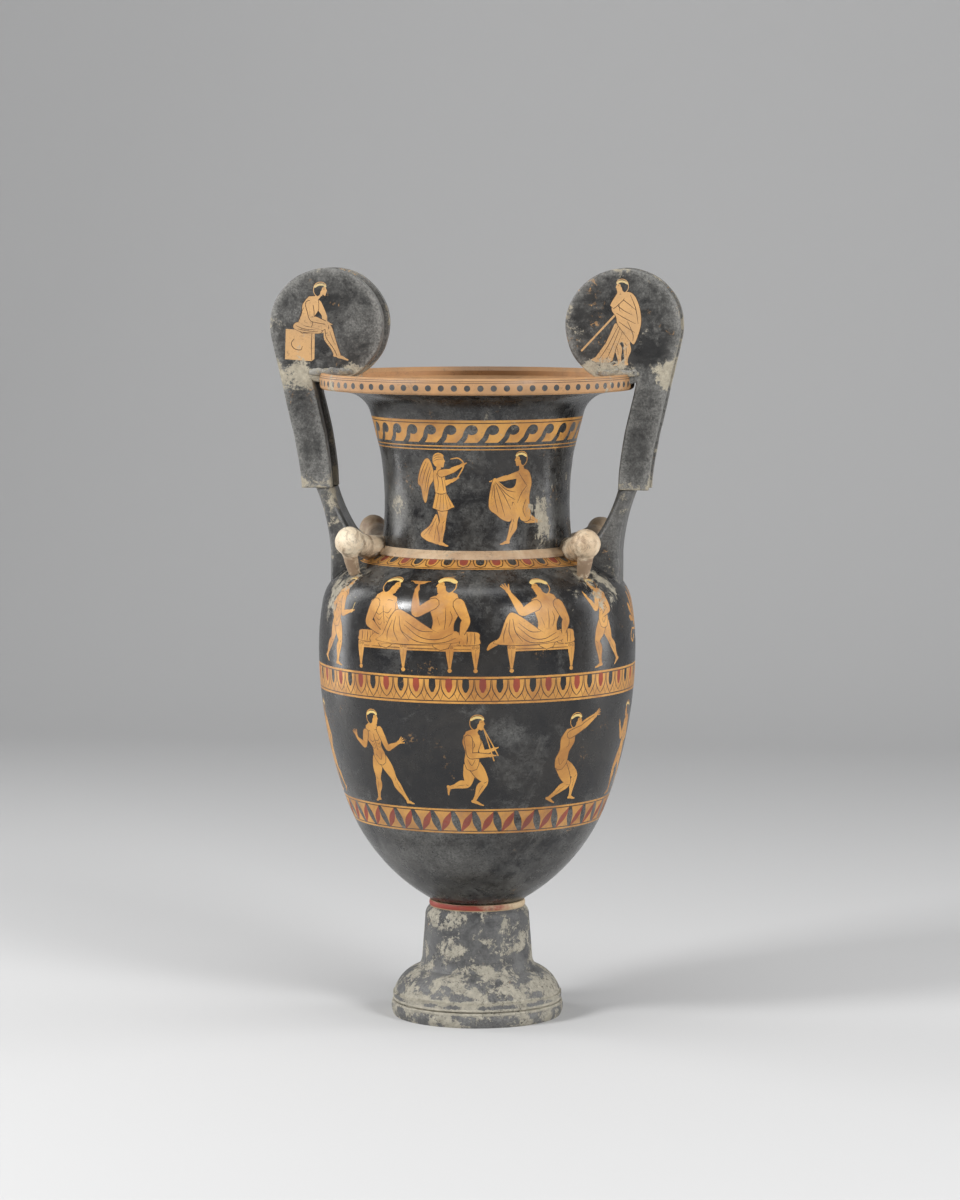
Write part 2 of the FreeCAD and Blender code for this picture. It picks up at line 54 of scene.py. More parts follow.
class Mixture:
    """The nodes of one finish, each kind with a short name."""

    def __init__(self, tree):
        self.tree = tree

    def node(self, kind, inputs=(), **settings):
        made = self.tree.nodes.new(kind)
        for name, value in settings.items():
            setattr(made, name, value)
        for name, value in dict(inputs).items():
            if isinstance(value, bpy.types.NodeSocket):
                self.link(value, made.inputs[name])
            else:
                made.inputs[name].default_value = value
        return made

    def place(self, stretch=(1, 1, 1)):
        """Where a point lies on the pot, in metres, drawn out along an axis if need be."""
        spot = self.node("ShaderNodeTexCoord").outputs["Object"]
        if stretch == (1, 1, 1):
            return spot
        return self.node("ShaderNodeVectorMath", {0: spot, 1: stretch}, operation="MULTIPLY").outputs[0]

    def split(self):
        """That place as its three measures x, y and z."""
        return self.node("ShaderNodeSeparateXYZ", {0: self.place()}).outputs

    def level(self):
        return self.split()[2]

    def noise(self, scale, detail=5, rough=0.6, bend=0, stretch=(1, 1, 1), shift=0):
        spot = self.place(stretch)
        if shift:
            moved = {0: spot, 1: (shift, 0, 0)}
            spot = self.node("ShaderNodeVectorMath", moved, operation="ADD").outputs[0]
        sizes = {"Vector": spot, "Scale": scale, "Detail": detail, "Roughness": rough, "Distortion": bend}
        return self.node("ShaderNodeTexNoise", sizes).outputs[0]

    def specks(self, scale):
        sizes = {"Vector": self.place(), "Scale": scale}
        return self.node("ShaderNodeTexVoronoi", sizes).outputs["Distance"]

    def spread(self, value, low, high, start=0, end=1):
        sizes = {0: value, 1: low, 2: high, 3: start, 4: end}
        return self.node("ShaderNodeMapRange", sizes).outputs[0]

    def reckon(self, kind, first, second=0):
        return self.node("ShaderNodeMath", {0: first, 1: second}, operation=kind).outputs[0]

    def add(self, first, second):
        return self.reckon("ADD", first, second)

    def less(self, first, second):
        return self.reckon("SUBTRACT", first, second)

    def times(self, first, second):
        return self.reckon("MULTIPLY", first, second)

    def blend(self, share, under, over):
        sizes = {0: share, 6: under, 7: over}
        return self.node("ShaderNodeMix", sizes, data_type="RGBA").outputs[2]

    def placed(self, shared, inputs):
        """What a shared effect gives for these inputs."""
        return self.node("ShaderNodeGroup", inputs, node_tree=shared).outputs

    def link(self, value, socket):
        self.tree.links.new(value, socket)


def effect(name, inputs, outputs):
    """An empty shared effect with number inputs, and the mixture that fills it."""
    tree = bpy.data.node_groups.new(name, "ShaderNodeTree")
    for label, value in inputs.items():
        socket = tree.interface.new_socket(label, in_out="INPUT", socket_type="NodeSocketFloat")
        socket.default_value = value
    for label in outputs:
        tree.interface.new_socket(label, in_out="OUTPUT", socket_type="NodeSocketFloat")
    mixture = Mixture(tree)
    return tree, mixture, mixture.node("NodeGroupInput").outputs, mixture.node("NodeGroupOutput").inputs


# Film: the thin grey veil that burial leaves on slip, in clouds with a mottled edge
film_effect, mix, given, out = effect("grey_film", {"Amount": 0.4}, ["Cover", "Streaks"])
clouds = mix.noise(13, 6, 0.62, 0.6)
blots = mix.noise(44, 8, 0.72, 1.1, shift=17)
mottle = mix.noise(150, 9, 0.8, 0.8)
turning = mix.noise(26, 8, 0.75, 0.2, stretch=(0.25, 0.25, 6))
veil = mix.add(mix.times(clouds, 0.36), mix.times(blots, 0.30))
veil = mix.add(veil, mix.times(mottle, 0.24))
veil = mix.add(veil, mix.times(turning, 0.10))
start = mix.spread(given["Amount"], 0, 1, 0.63, 0.35)
veil = mix.spread(mix.less(veil, start), 0, 0.15)
fine = mix.spread(mix.noise(620, 4, 0.75), 0.36, 0.62, 0.25, 1)
mix.link(mix.times(veil, fine), out["Cover"])
mix.link(mix.spread(turning, 0.50, 0.70), out["Streaks"])

# Crust: lime and earth that still cling in ragged cream patches with a raised edge
crust_effect, mix, given, out = effect("cream_crust", {"Amount": 0.3, "Size": 30}, ["Cover", "Height"])
patches = mix.noise(given["Size"], 6, 0.62, 0.5, shift=3)
bits = mix.noise(260, 9, 0.78, 0.6, shift=5)
lime = mix.add(mix.times(patches, 0.60), mix.times(bits, 0.40))
start = mix.spread(given["Amount"], 0, 1, 0.68, 0.36)
lime = mix.less(lime, start)
mix.link(mix.spread(lime, 0, 0.035), out["Cover"])
mix.link(mix.spread(lime, 0, 0.16), out["Height"])

# Chips: small breaks through the slip, down to the orange clay
chip_effect, mix, given, out = effect("chips", {"Amount": 0.3}, ["Cover"])
scarce = mix.spread(mix.noise(21, 4, 0.6, shift=9), 0.60, 0.66)
flakes = mix.spread(mix.noise(230, 5, 0.75, 0.8, shift=7), 0.58, 0.61)
both = mix.times(scarce, flakes)
mix.link(mix.times(both, given["Amount"]), out["Cover"])

# Specks: dark pores and soot that show through film and crust alike
speck_effect, mix, given, out = effect("dark_specks", {"Amount": 0.5}, ["Cover"])
where = mix.spread(mix.noise(30, 5, 0.65, shift=12), 0.44, 0.60)
pores = mix.spread(mix.noise(380, 6, 0.8, 0.4, shift=13), 0.545, 0.60)
both = mix.times(where, pores)
mix.link(mix.times(both, given["Amount"]), out["Cover"])

# Grain: the fine tooth of fired clay with a few grits and pin holes
grain_effect, mix, given, out = effect("clay_grain", {"Scale": 900}, ["Tone", "Height"])
tooth_sizes = {"Vector": mix.place(), "Scale": given["Scale"], "Detail": 6}
tooth = mix.node("ShaderNodeTexNoise", tooth_sizes).outputs[0]
holes = mix.spread(mix.specks(420), 0.0, 0.10, 1, 0)
some = mix.spread(mix.noise(60, 3, shift=2), 0.55, 0.65)
mix.link(mix.spread(mix.noise(26, 8, 0.68, 0.5, shift=4), 0.40, 0.62), out["Tone"])
pits = mix.times(holes, some)
mix.link(mix.less(tooth, mix.times(pits, 0.7)), out["Height"])


def fired(name, colour, second, film=0.35, crust=0.12, chips=0.0, specks=0.0, gloss=0.35, matt=0.75,
          patch=30, relief=0.25, more_crust=None, more_film=None, film_share=0.75,
          film_colour=FILM_COLOUR, crust_colour=CRUST_COLOUR, tint=None):
    """A fired surface: two close tones of colour under a grey film, cream crust and chips.
    Roughness runs from gloss, where it is bare, to matt, where film or crust covers it."""
    material = bpy.data.materials.new(name)
    material.use_nodes = True
    mix = Mixture(material.node_tree)
    shader = material.node_tree.nodes["Principled BSDF"]
    film_amount = mix.add(more_film(mix), film) if more_film else film
    crust_amount = mix.add(more_crust(mix), crust) if more_crust else crust
    veil = mix.placed(film_effect, {"Amount": film_amount})
    lime = mix.placed(crust_effect, {"Amount": crust_amount, "Size": patch})
    grain = mix.placed(grain_effect, {})
    shade = mix.blend(grain["Tone"], colour, second)
    if tint:
        share, other = tint(mix)
        shade = mix.blend(share, shade, other)
    shade = mix.blend(mix.times(veil["Cover"], film_share), shade, film_colour)
    if chips:
        breaks = mix.placed(chip_effect, {"Amount": chips})
        shade = mix.blend(breaks["Cover"], shade, CLAY_COLOUR)
    darker = tuple(0.6 * c for c in crust_colour[:3]) + (1,)
    lime_tone = mix.blend(mix.spread(mix.noise(170, 6, 0.75, shift=6), 0.35, 0.65), crust_colour, darker)
    shade = mix.blend(mix.times(lime["Cover"], 0.92), shade, lime_tone)
    if specks:
        pores = mix.placed(speck_effect, {"Amount": specks})
        shade = mix.blend(pores["Cover"], shade, (0.035, 0.034, 0.033, 1))
    mix.link(shade, shader.inputs["Base Color"])
    rough = mix.spread(mix.add(veil["Cover"], lime["Cover"]), 0, 1, gloss, matt)
    rough = mix.add(rough, mix.spread(mix.noise(90, 4, 0.6, shift=8), 0.3, 0.7, -0.05, 0.07))
    mix.link(rough, shader.inputs["Roughness"])
    raised = mix.add(mix.times(grain["Height"], 0.35), mix.times(lime["Height"], 1.2))
    raised = mix.add(raised, mix.times(veil["Streaks"], 0.25))
    bump = mix.node("ShaderNodeBump", {"Height": raised, "Strength": relief, "Distance": 0.0009})
    mix.link(bump.outputs[0], shader.inputs["Normal"])
    return material


def dressed(node_name, material):
    """Gives a piece that stays as it was built its finish."""
    slots = nodes[node_name].material_slots
    for place in slots:
        place.material = material
    if not slots:
        nodes[node_name].data.materials.append(material)


def around(level, reach):
    """A share that is 1 near a level of the pot and fades over the reach above and below."""
    def amount(mix):
        off = mix.reckon("ABSOLUTE", mix.less(mix.level(), level))
        return mix.spread(off, reach * 0.3, reach, 1, 0)
    return amount


SLIP = (0.009, 0.009, 0.010, 1)
SLIP_BROWN = (0.023, 0.021, 0.019, 1)
GREY_SLIP = (0.038, 0.038, 0.040, 1)
seam_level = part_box("foot_base")[0].z + 0.7 * MM
groove_level = seam_level + 7.5 * MM


def foot_crust(mix):
    """Crust lies thickest in the seam of the base and the groove above it, and thins upwards."""
    seam = around(seam_level, 3 * MM)(mix)
    groove = around(groove_level, 2.5 * MM)(mix)
    base = mix.spread(mix.level(), 0.052, 0.030, 0.0, 0.08)
    return mix.add(base, mix.add(mix.times(seam, 0.75), mix.times(groove, 0.3)))


def foot_film(mix):
    """The stem is darker than the base under it."""
    return mix.spread(mix.level(), 0.058, 0.030, -0.06, 0.10)


foot_slip = fired("foot_slip", GREY_SLIP, (0.11, 0.11, 0.108, 1), film=0.70, crust=0.55, chips=0.6,
                  gloss=0.42, matt=0.85, patch=52, relief=0.9, more_crust=foot_crust,
                  more_film=foot_film, film_colour=(0.275, 0.272, 0.262, 1),
                  crust_colour=(0.60, 0.555, 0.45, 1), specks=1.0)
for name in ("foot_plinth", "foot_base", "foot_stem"):
    dressed(name, foot_slip)

# Joint ring: a roll of pale clay that hides the joint of foot and body. Most of the dark red
# painted round it is rubbed off, and what is left ends in a smear.
ring_low, ring_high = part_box("foot_joint_ring")
ring_middle = (ring_low.z + ring_high.z) / 2


def ring_paint(mix):
    """Dark red along the upper half of the ring, gone in places."""
    level = mix.level()
    upper = mix.spread(level, ring_middle - 2.4 * MM, ring_middle - 1.4 * MM)
    under = mix.spread(level, ring_middle + 2.8 * MM, ring_middle + 2.2 * MM)
    spot = mix.split()
    worn = mix.spread(mix.add(mix.times(spot[0], -8), mix.noise(38, 6, 0.7)), 0.22, 0.44)
    share = mix.times(mix.times(upper, under), worn)
    return share, (0.27, 0.038, 0.022, 1)


ring_clay = fired("joint_ring_clay", (0.52, 0.40, 0.25, 1), (0.42, 0.28, 0.15, 1), film=0.25, crust=0.30,
                  gloss=0.55, matt=0.85, patch=60, relief=0.5, tint=ring_paint, specks=0.5)
dressed("foot_joint_ring", ring_clay)

# Body: an egg-shaped pot thrown on the wheel, its mouth drawn in to a sloping shoulder.
# The clay is painted with black slip round reserved orange figures and bands, then fired.
TURNS = 180
STEP = 0.5
body_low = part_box("body")[0].z / MM


def arc(start, end, curve, turn, step):
    """Points on the arc from start to end that turns left or right."""
    start, end = np.array(start, float), np.array(end, float)
    chord = end - start
    across = np.array([-chord[1], chord[0]]) / np.hypot(*chord)
    rise = math.sqrt(curve**2 - chord @ chord / 4)
    centre = (start + end) / 2 + across * rise * (1 if turn == "left" else -1)
    first = math.atan2(*(start - centre)[::-1])
    last = math.atan2(*(end - centre)[::-1])
    sweep = (last - first) % math.tau if turn == "left" else -((first - last) % math.tau)
    count = max(2, int(abs(sweep) * curve / step) + 1)
    angles = first + sweep * np.linspace(0, 1, count)
    return centre + curve * np.stack([np.cos(angles), np.sin(angles)], 1)


def drawn(stations, seat, step=STEP):
    """A wall's outline in millimetres: each station is (reach, level), with the arc's curve
    and turn where an arc leads to the next one."""
    points = []
    for here, after in zip(stations, stations[1:]):
        if len(here) > 2:
            run = arc(here[:2], after[:2], here[2], here[3], step)
        else:
            count = max(2, int(math.dist(here, after[:2]) / step) + 1)
            run = np.linspace(here[:2], after[:2], count)
        points.extend(run if not points else run[1:])
    return np.array(points) + (0, seat)


def facing(points, soften=3):
    """The way a wall faces at each point: out of the clay, softened where arcs meet."""
    along = np.gradient(points, axis=0)
    for _ in range(soften):
        padded = np.vstack([along[:1], along, along[-1:]])
        along = (padded[:-2] + 2 * padded[1:-1] + padded[2:]) / 4
    out = np.stack([along[:, 1], -along[:, 0]], 1)
    return out / np.hypot(out[:, 0], out[:, 1])[:, None]


def turned(outline, colour=0, soften=3):
    """A run of wall turned once round the axis: spots, facings, faces and their colours."""
    ways = facing(outline, soften) if len(outline) > 2 else facing(np.linspace(*outline, 3), 0)[[0, 2]]
    angles = np.arange(TURNS) * math.tau / TURNS
    ring = np.stack([np.cos(angles), np.sin(angles)], 1)
    spots = np.array([[*(ring[i] * r), z] for r, z in outline for i in range(TURNS)])
    normals = np.array([[*(ring[i] * r), z] for r, z in ways for i in range(TURNS)])
    faces = []
    for row in range(len(outline) - 1):
        for i in range(TURNS):
            a, b = row * TURNS + i, row * TURNS + (i + 1) % TURNS
            quad = (a, b, b + TURNS, a + TURNS)
            if outline[row][0] < 1e-6:
                quad = (row * TURNS, b + TURNS, a + TURNS)
            elif outline[row + 1][0] < 1e-6:
                quad = (a, b, (row + 1) * TURNS)
            faces.append(quad)
    return spots * MM, normals, faces, [colour] * len(faces)


def shell(name, patches, finishes):
    """One closed piece from patches that share their edges, facing as the patches say."""
    spots = np.vstack([p[0] for p in patches])
    keys = np.round(spots / (0.002 * MM)).astype(np.int64)
    _, first, welded = np.unique(keys, axis=0, return_index=True, return_inverse=True)
    welded = welded.ravel()
    faces, ways, colours, base = [], [], [], 0
    for points, normals, patch_faces, patch_colours in patches:
        for face, colour in zip(patch_faces, patch_colours):
            whole = [int(welded[base + i]) for i in face]
            if len(set(whole)) == len(whole):
                faces.append(whole)
                ways.extend(tuple(normals[i]) for i in face)
                colours.append(colour)
        base += len(points)
    mesh = bpy.data.meshes.new(name)
    mesh.from_pydata([tuple(p) for p in spots[first]], [], faces)
    mesh.polygons.foreach_set("material_index", colours)
    mesh.polygons.foreach_set("use_smooth", [True] * len(faces))
    for finish in finishes:
        mesh.materials.append(finish)
    mesh.normals_split_custom_set(ways)
    mesh.validate(clean_customdata=False)
    piece = bpy.data.objects.new(name, mesh)
    bpy.context.scene.collection.objects.link(piece)
    return piece


SLIPPED, CLAY, RED, LINE, CREAM = range(5)


class Painting:
    """What is painted on a wall, in the order it was laid on. x runs round the wall at its
    reference reach and y up along it, both in millimetres, like a sheet wrapped round."""

    def __init__(self, width=None):
        self.width = width
        self.shapes = []
        self.levels = []

    def area(self, points, colour):
        points = np.array(points, float)
        if self.width is None:
            self.shapes.append((points, colour))
            return
        for shift in (-self.width, 0, self.width):
            moved = points + (shift, 0)
            if moved[:, 0].max() > 1e-6 and moved[:, 0].min() < self.width - 1e-6:
                moved = cut(cut(moved, 0, 1), self.width, -1)
                if len(moved) > 2:
                    self.shapes.append((moved, colour))

    def band(self, low, high, colour):
        self.levels += [low, high]
        edge = self.width + 1
        self.shapes.append((np.array([(-1, low), (edge, low), (edge, high), (-1, high)], float), colour))

    def stroke(self, points, widths, colour, steps=5):
        self.area(brushed(points, widths, steps), colour)

    def line(self, points, width=0.30, colour=LINE, steps=4):
        taper = [width * 0.6] + [width] * (len(points) - 2) + [width * 0.5]
        self.area(brushed(points, taper, steps), colour)

    def spot(self, centre, radius, colour, count=18):
        turn = np.linspace(0, math.tau, count, endpoint=False)
        self.area(np.array(centre) + radius * np.stack([np.cos(turn), np.sin(turn)], 1), colour)


def cut(points, edge, side):
    """The part of an outline on one side of an upright edge."""
    kept = []
    for here, after in zip(points, np.roll(points, -1, axis=0)):
        inside, next_inside = (here[0] - edge) * side >= 0, (after[0] - edge) * side >= 0
        if inside:
            kept.append(here)
        if inside != next_inside:
            share = (edge - here[0]) / (after[0] - here[0])
            kept.append(np.array([edge, here[1] + share * (after[1] - here[1])]))
    return np.array(kept)


def eased(a, b, c, d, steps):
    """The smooth run of points from b up to c, led in by a and led out by d."""
    return [0.5 * (2 * b + (c - a) * t + (2 * a - 5 * b + 4 * c - d) * t**2
                   + (3 * b - a - 3 * c + d) * t**3) for t in (k / steps for k in range(steps))]


def brushed(points, widths, steps=5):
    """The outline of a brush stroke that swells and thins as it runs through the points."""
    path = np.column_stack([np.array(points, float), np.array(widths, float)])
    ends = np.vstack([2 * path[0] - path[1], path, 2 * path[-1] - path[-2]])
    run = []
    for four in zip(ends, ends[1:], ends[2:], ends[3:]):
        run += eased(*four, steps)
    run.append(path[-1])
    run = np.array(run)
    along = np.gradient(run[:, :2], axis=0)
    along /= np.maximum(np.hypot(along[:, 0], along[:, 1]), 1e-9)[:, None]
    side = np.stack([-along[:, 1], along[:, 0]], 1) * run[:, 2:]
    left, right = run[:, :2] + side, run[:, :2] - side
    tip = run[-1, :2] + along[-1] * run[-1, 2]
    tail = run[0, :2] - along[0] * run[0, 2]

    def rounded(a, end, b):
        middle = (a + b) / 2
        corner = 0.7071
        return [middle + (a - middle) * corner + (end - middle) * corner, end,
                middle + (b - middle) * corner + (end - middle) * corner]

    return np.vstack([right, rounded(right[-1], tip, left[-1]),
                      left[::-1], rounded(left[0], tail, right[0])])


def covered(outline, points):
    """Which points an outline winds round."""
    ax, ay = outline.T[:, :, None]
    bx, by = np.roll(outline, -1, axis=0).T[:, :, None]
    x, y = points.T[:, None, :]
    side = (bx - ax) * (y - ay) - (x - ax) * (by - ay)
    up = (ay <= y) & (by > y) & (side > 0)
    down = (ay > y) & (by <= y) & (side < 0)
    return (up.sum(0) - down.sum(0)) != 0


def coloured(painting, columns, rows, ground, border=None):
    """Splits a flat sheet along every painted edge: points, triangles and their colours.
    A border is the outline of a sheet that isn't a full oblong."""
    levels = sorted({round(y, 4) for y in painting.levels})
    between = [y for y in rows[1:-1] if all(abs(y - level) > 0.7 for level in levels)]
    rows = sorted([rows[0], *between, *levels, rows[-1]])
    wide = len(columns)
    points = [Vector((x, y)) for y in rows for x in columns]
    edges = []
    for level in levels:
        base = rows.index(level) * wide
        edges += [(base + i, base + i + 1) for i in range(wide - 1)]
    outlines = [shape for shape, _ in painting.shapes if shape[0, 0] != -1]
    if border is not None:
        within = covered(border, np.array(points))
        points = [point for point, inside in zip(points, within) if inside]
        outlines.append(border)
    for outline in outlines:
        base = len(points)
        points += [Vector(p) for p in outline]
        edges += [(base + i, base + (i + 1) % len(outline)) for i in range(len(outline))]
    made = delaunay_2d_cdt(points, edges, [], 0, 1e-5, False)
    flat = np.array([tuple(p) for p in made[0]])
    triangles = np.array([f for f in made[2] if len(f) == 3])
    if border is None:
        pitch = painting.width / (wide - 1)
        turns = np.round(flat[:, 0] / pitch)
        on_column = np.abs(flat[:, 0] - turns * pitch) < 0.001
        flat[on_column, 0] = turns[on_column] * pitch
        for level in (rows[0], rows[-1]):
            flat[np.abs(flat[:, 1] - level) < 0.001, 1] = level
        seam = np.nonzero(turns * on_column == wide - 1)[0]
        start = np.nonzero(on_column & (turns == 0))[0]
        for i in seam:
            flat[i, 1] = flat[start[np.argmin(np.abs(flat[start, 1] - flat[i, 1]))], 1]
    a, b, c = (flat[triangles[:, k]] for k in range(3))
    double = (b[:, 0] - a[:, 0]) * (c[:, 1] - a[:, 1]) - (c[:, 0] - a[:, 0]) * (b[:, 1] - a[:, 1])
    triangles[double < 0] = triangles[double < 0][:, ::-1]
    middles = (a + b + c) / 3
    if border is None:
        heights = np.stack([a[:, 1], b[:, 1], c[:, 1]])
        keep = (heights.max(0) > rows[0]) & (heights.min(0) < rows[-1])
    else:
        keep = covered(border, middles)
    triangles, middles = triangles[keep], middles[keep]
    colours = np.full(len(triangles), ground)
    for outline, colour in painting.shapes:
        low, high = outline.min(0), outline.max(0)
        close = np.nonzero(((middles > low) & (middles < high)).all(1))[0]
        if len(close):
            colours[close[covered(outline, middles[close])]] = colour
    return flat, triangles, colours


def wrapped(painting, outline, rows, ground=SLIPPED):
    """A painted wall: the flat painting wrapped round the pot over its outline."""
    steps = np.hypot(*np.diff(outline, axis=0).T)
    along = np.concatenate([[0], np.cumsum(steps)])
    ways = facing(outline)
    columns = np.arange(TURNS + 1) * (painting.width / TURNS)
    levels = np.linspace(0, along[-1], rows + 1)
    flat, triangles, colours = coloured(painting, columns, list(levels), ground)
    angles = flat[:, 0] / painting.width * math.tau
    reach, level = (np.interp(flat[:, 1], along, outline[:, k]) for k in (0, 1))
    way_out, way_up = (np.interp(flat[:, 1], along, ways[:, k]) for k in (0, 1))
    spots = np.stack([reach * np.cos(angles), reach * np.sin(angles), level], 1) * MM
    normals = np.stack([way_out * np.cos(angles), way_out * np.sin(angles), way_up], 1)
    return spots, normals, triangles.tolist(), colours.tolist()


def sheet_on(outline, reference):
    """A bare painting for a wall, with the ways to find a level and a bearing on it."""
    painting = Painting(math.tau * reference)
    along = np.concatenate([[0], np.cumsum(np.hypot(*np.diff(outline, axis=0).T))])
    painting.up = lambda level: float(np.interp(level, outline[:, 1], along))
    painting.at = lambda bearing: (270 + bearing) % 360 / 360 * painting.width
    return painting


SEAT_REACH, FLOOR_REACH, FLOOR_RISE = 38.0, 34.0, 8.0
MOUTH_IN, MOUTH_OUT = 76.0, 88.0
BODY_RISE, BODY_THROAT = 299.3, 295.3
body_outside = drawn(
    [
        (SEAT_REACH, 0, 162.6, "left"),
        (111.1, 85.1, 381.3, "left"),
        (135.2, 218.5, 224.0, "left"),
        (131.8, 257.4, 37.2, "left"),
        (114.8, 283.0),
        (MOUTH_OUT, BODY_RISE),
    ],
    body_low,
)
body_inside = drawn(
    [
        (MOUTH_IN, BODY_THROAT),
        (111.2, 277.0, 30.2, "right"),
        (124.9, 256.2, 217.0, "right"),
        (128.2, 218.5, 374.3, "right"),
        (104.5, 87.6, 155.6, "right"),
        (FLOOR_REACH, FLOOR_RISE),
    ],
    body_low,
    6,
)
body_paint = sheet_on(body_outside, 128)


def bordered(painting, low, high, ground=CLAY, edge=1.7, line=0.9):
    """A band of bare clay between two levels of the pot, with a clay edge and a dark line above
    and below. Gives the lowest and highest place left for its pattern."""
    low, high = painting.up(low), painting.up(high)
    painting.band(low, high, ground)
    for start in (low + edge, high - edge - line):
        painting.band(start, start + line, LINE)
    return low + edge + line, high - edge - line


# Tongue band, round the top of the shoulder
TONGUES = 42
TONGUE_LOW, TONGUE_HIGH = 391.6, 398.6
low, high = bordered(body_paint, TONGUE_LOW, TONGUE_HIGH, edge=1.1, line=0.8)
tongue_top = body_paint.up(TONGUE_HIGH) - 0.05
pitch = body_paint.width / TONGUES
for count in range(TONGUES):
    x = pitch * (count + 0.5)
    for grow, colour in ((0.43, LINE), (0.375, CLAY), (0.26, RED if count % 2 else SLIPPED)):
        half = pitch * grow
        foot = low + 0.3 + pitch * (0.43 - grow)
        bend = foot + half * 0.9
        tongue = [(x - half, tongue_top), (x - half, bend), (x - half * 0.72, foot + half * 0.28),
                  (x, foot), (x + half * 0.72, foot + half * 0.28), (x + half, bend),
                  (x + half, tongue_top)]
        body_paint.area(tongue, colour)

# Egg band, at the widest part: drops of red and black over pointed arches
EGGS = 60
low, high = bordered(body_paint, 283.6, 306.2)
pitch = body_paint.width / EGGS
tall = high - low
for count in range(EGGS):
    x = pitch * (count + 0.5)
    for side in (-1, 1):
        gap = x + side * pitch / 2
        body_paint.line([(gap + side * pitch * 0.20, low + tall * 0.40), (gap, low + 0.1)], 0.32)
egg_wide = pitch * 0.19
for count in range(EGGS):
    x = pitch * (count + 0.5)
    tip = low + (0.2 if count % 2 else 1.4)
    half = pitch * 0.47
    arch = [(x - half, high), (x - half * 0.92, low + tall * 0.58),
            (x - half * 0.52, low + tall * 0.27), (x, tip)]
    mirror = [(2 * x - px, py) for px, py in arch[::-1]]
    body_paint.area(arch + mirror[1:], CLAY)
    body_paint.line(arch, 0.42)
    body_paint.line(mirror, 0.42)
    egg = [(x, high - 1.4), (x, low + tall * 0.66), (x, low + tall * 0.47)]
    colour = SLIPPED if count % 2 else RED
    body_paint.stroke(egg, [egg_wide, pitch * 0.205, pitch * 0.12], colour)
    body_paint.area([(x - egg_wide, high), (x + egg_wide, high),
                     (x + egg_wide, high - 1.6), (x - egg_wide, high - 1.6)], colour)

# Leaf band, low on the body: slanted leaves, red and black by turns
LEAVES = 40
low, high = bordered(body_paint, 171.6, 193.2)
pitch = body_paint.width / LEAVES
tall = high - low
for count in range(LEAVES):
    x = pitch * (count + 0.5)
    red_leaf = [(x - pitch * 0.46, low + 0.4), (x - pitch * 0.21, low + tall * 0.46),
                (x + pitch * 0.08, high - 0.3)]
    body_paint.stroke(red_leaf, [0.9, pitch * 0.165, 0.8], RED)
    black_leaf = [(x + pitch * 0.14, high - 0.9), (x + pitch * 0.26, low + tall * 0.5),
                  (x + pitch * 0.40, low + 0.9)]
    body_paint.stroke(black_leaf, [2.1, pitch * 0.19, 2.2], SLIPPED)


OUTLINE = 0.55


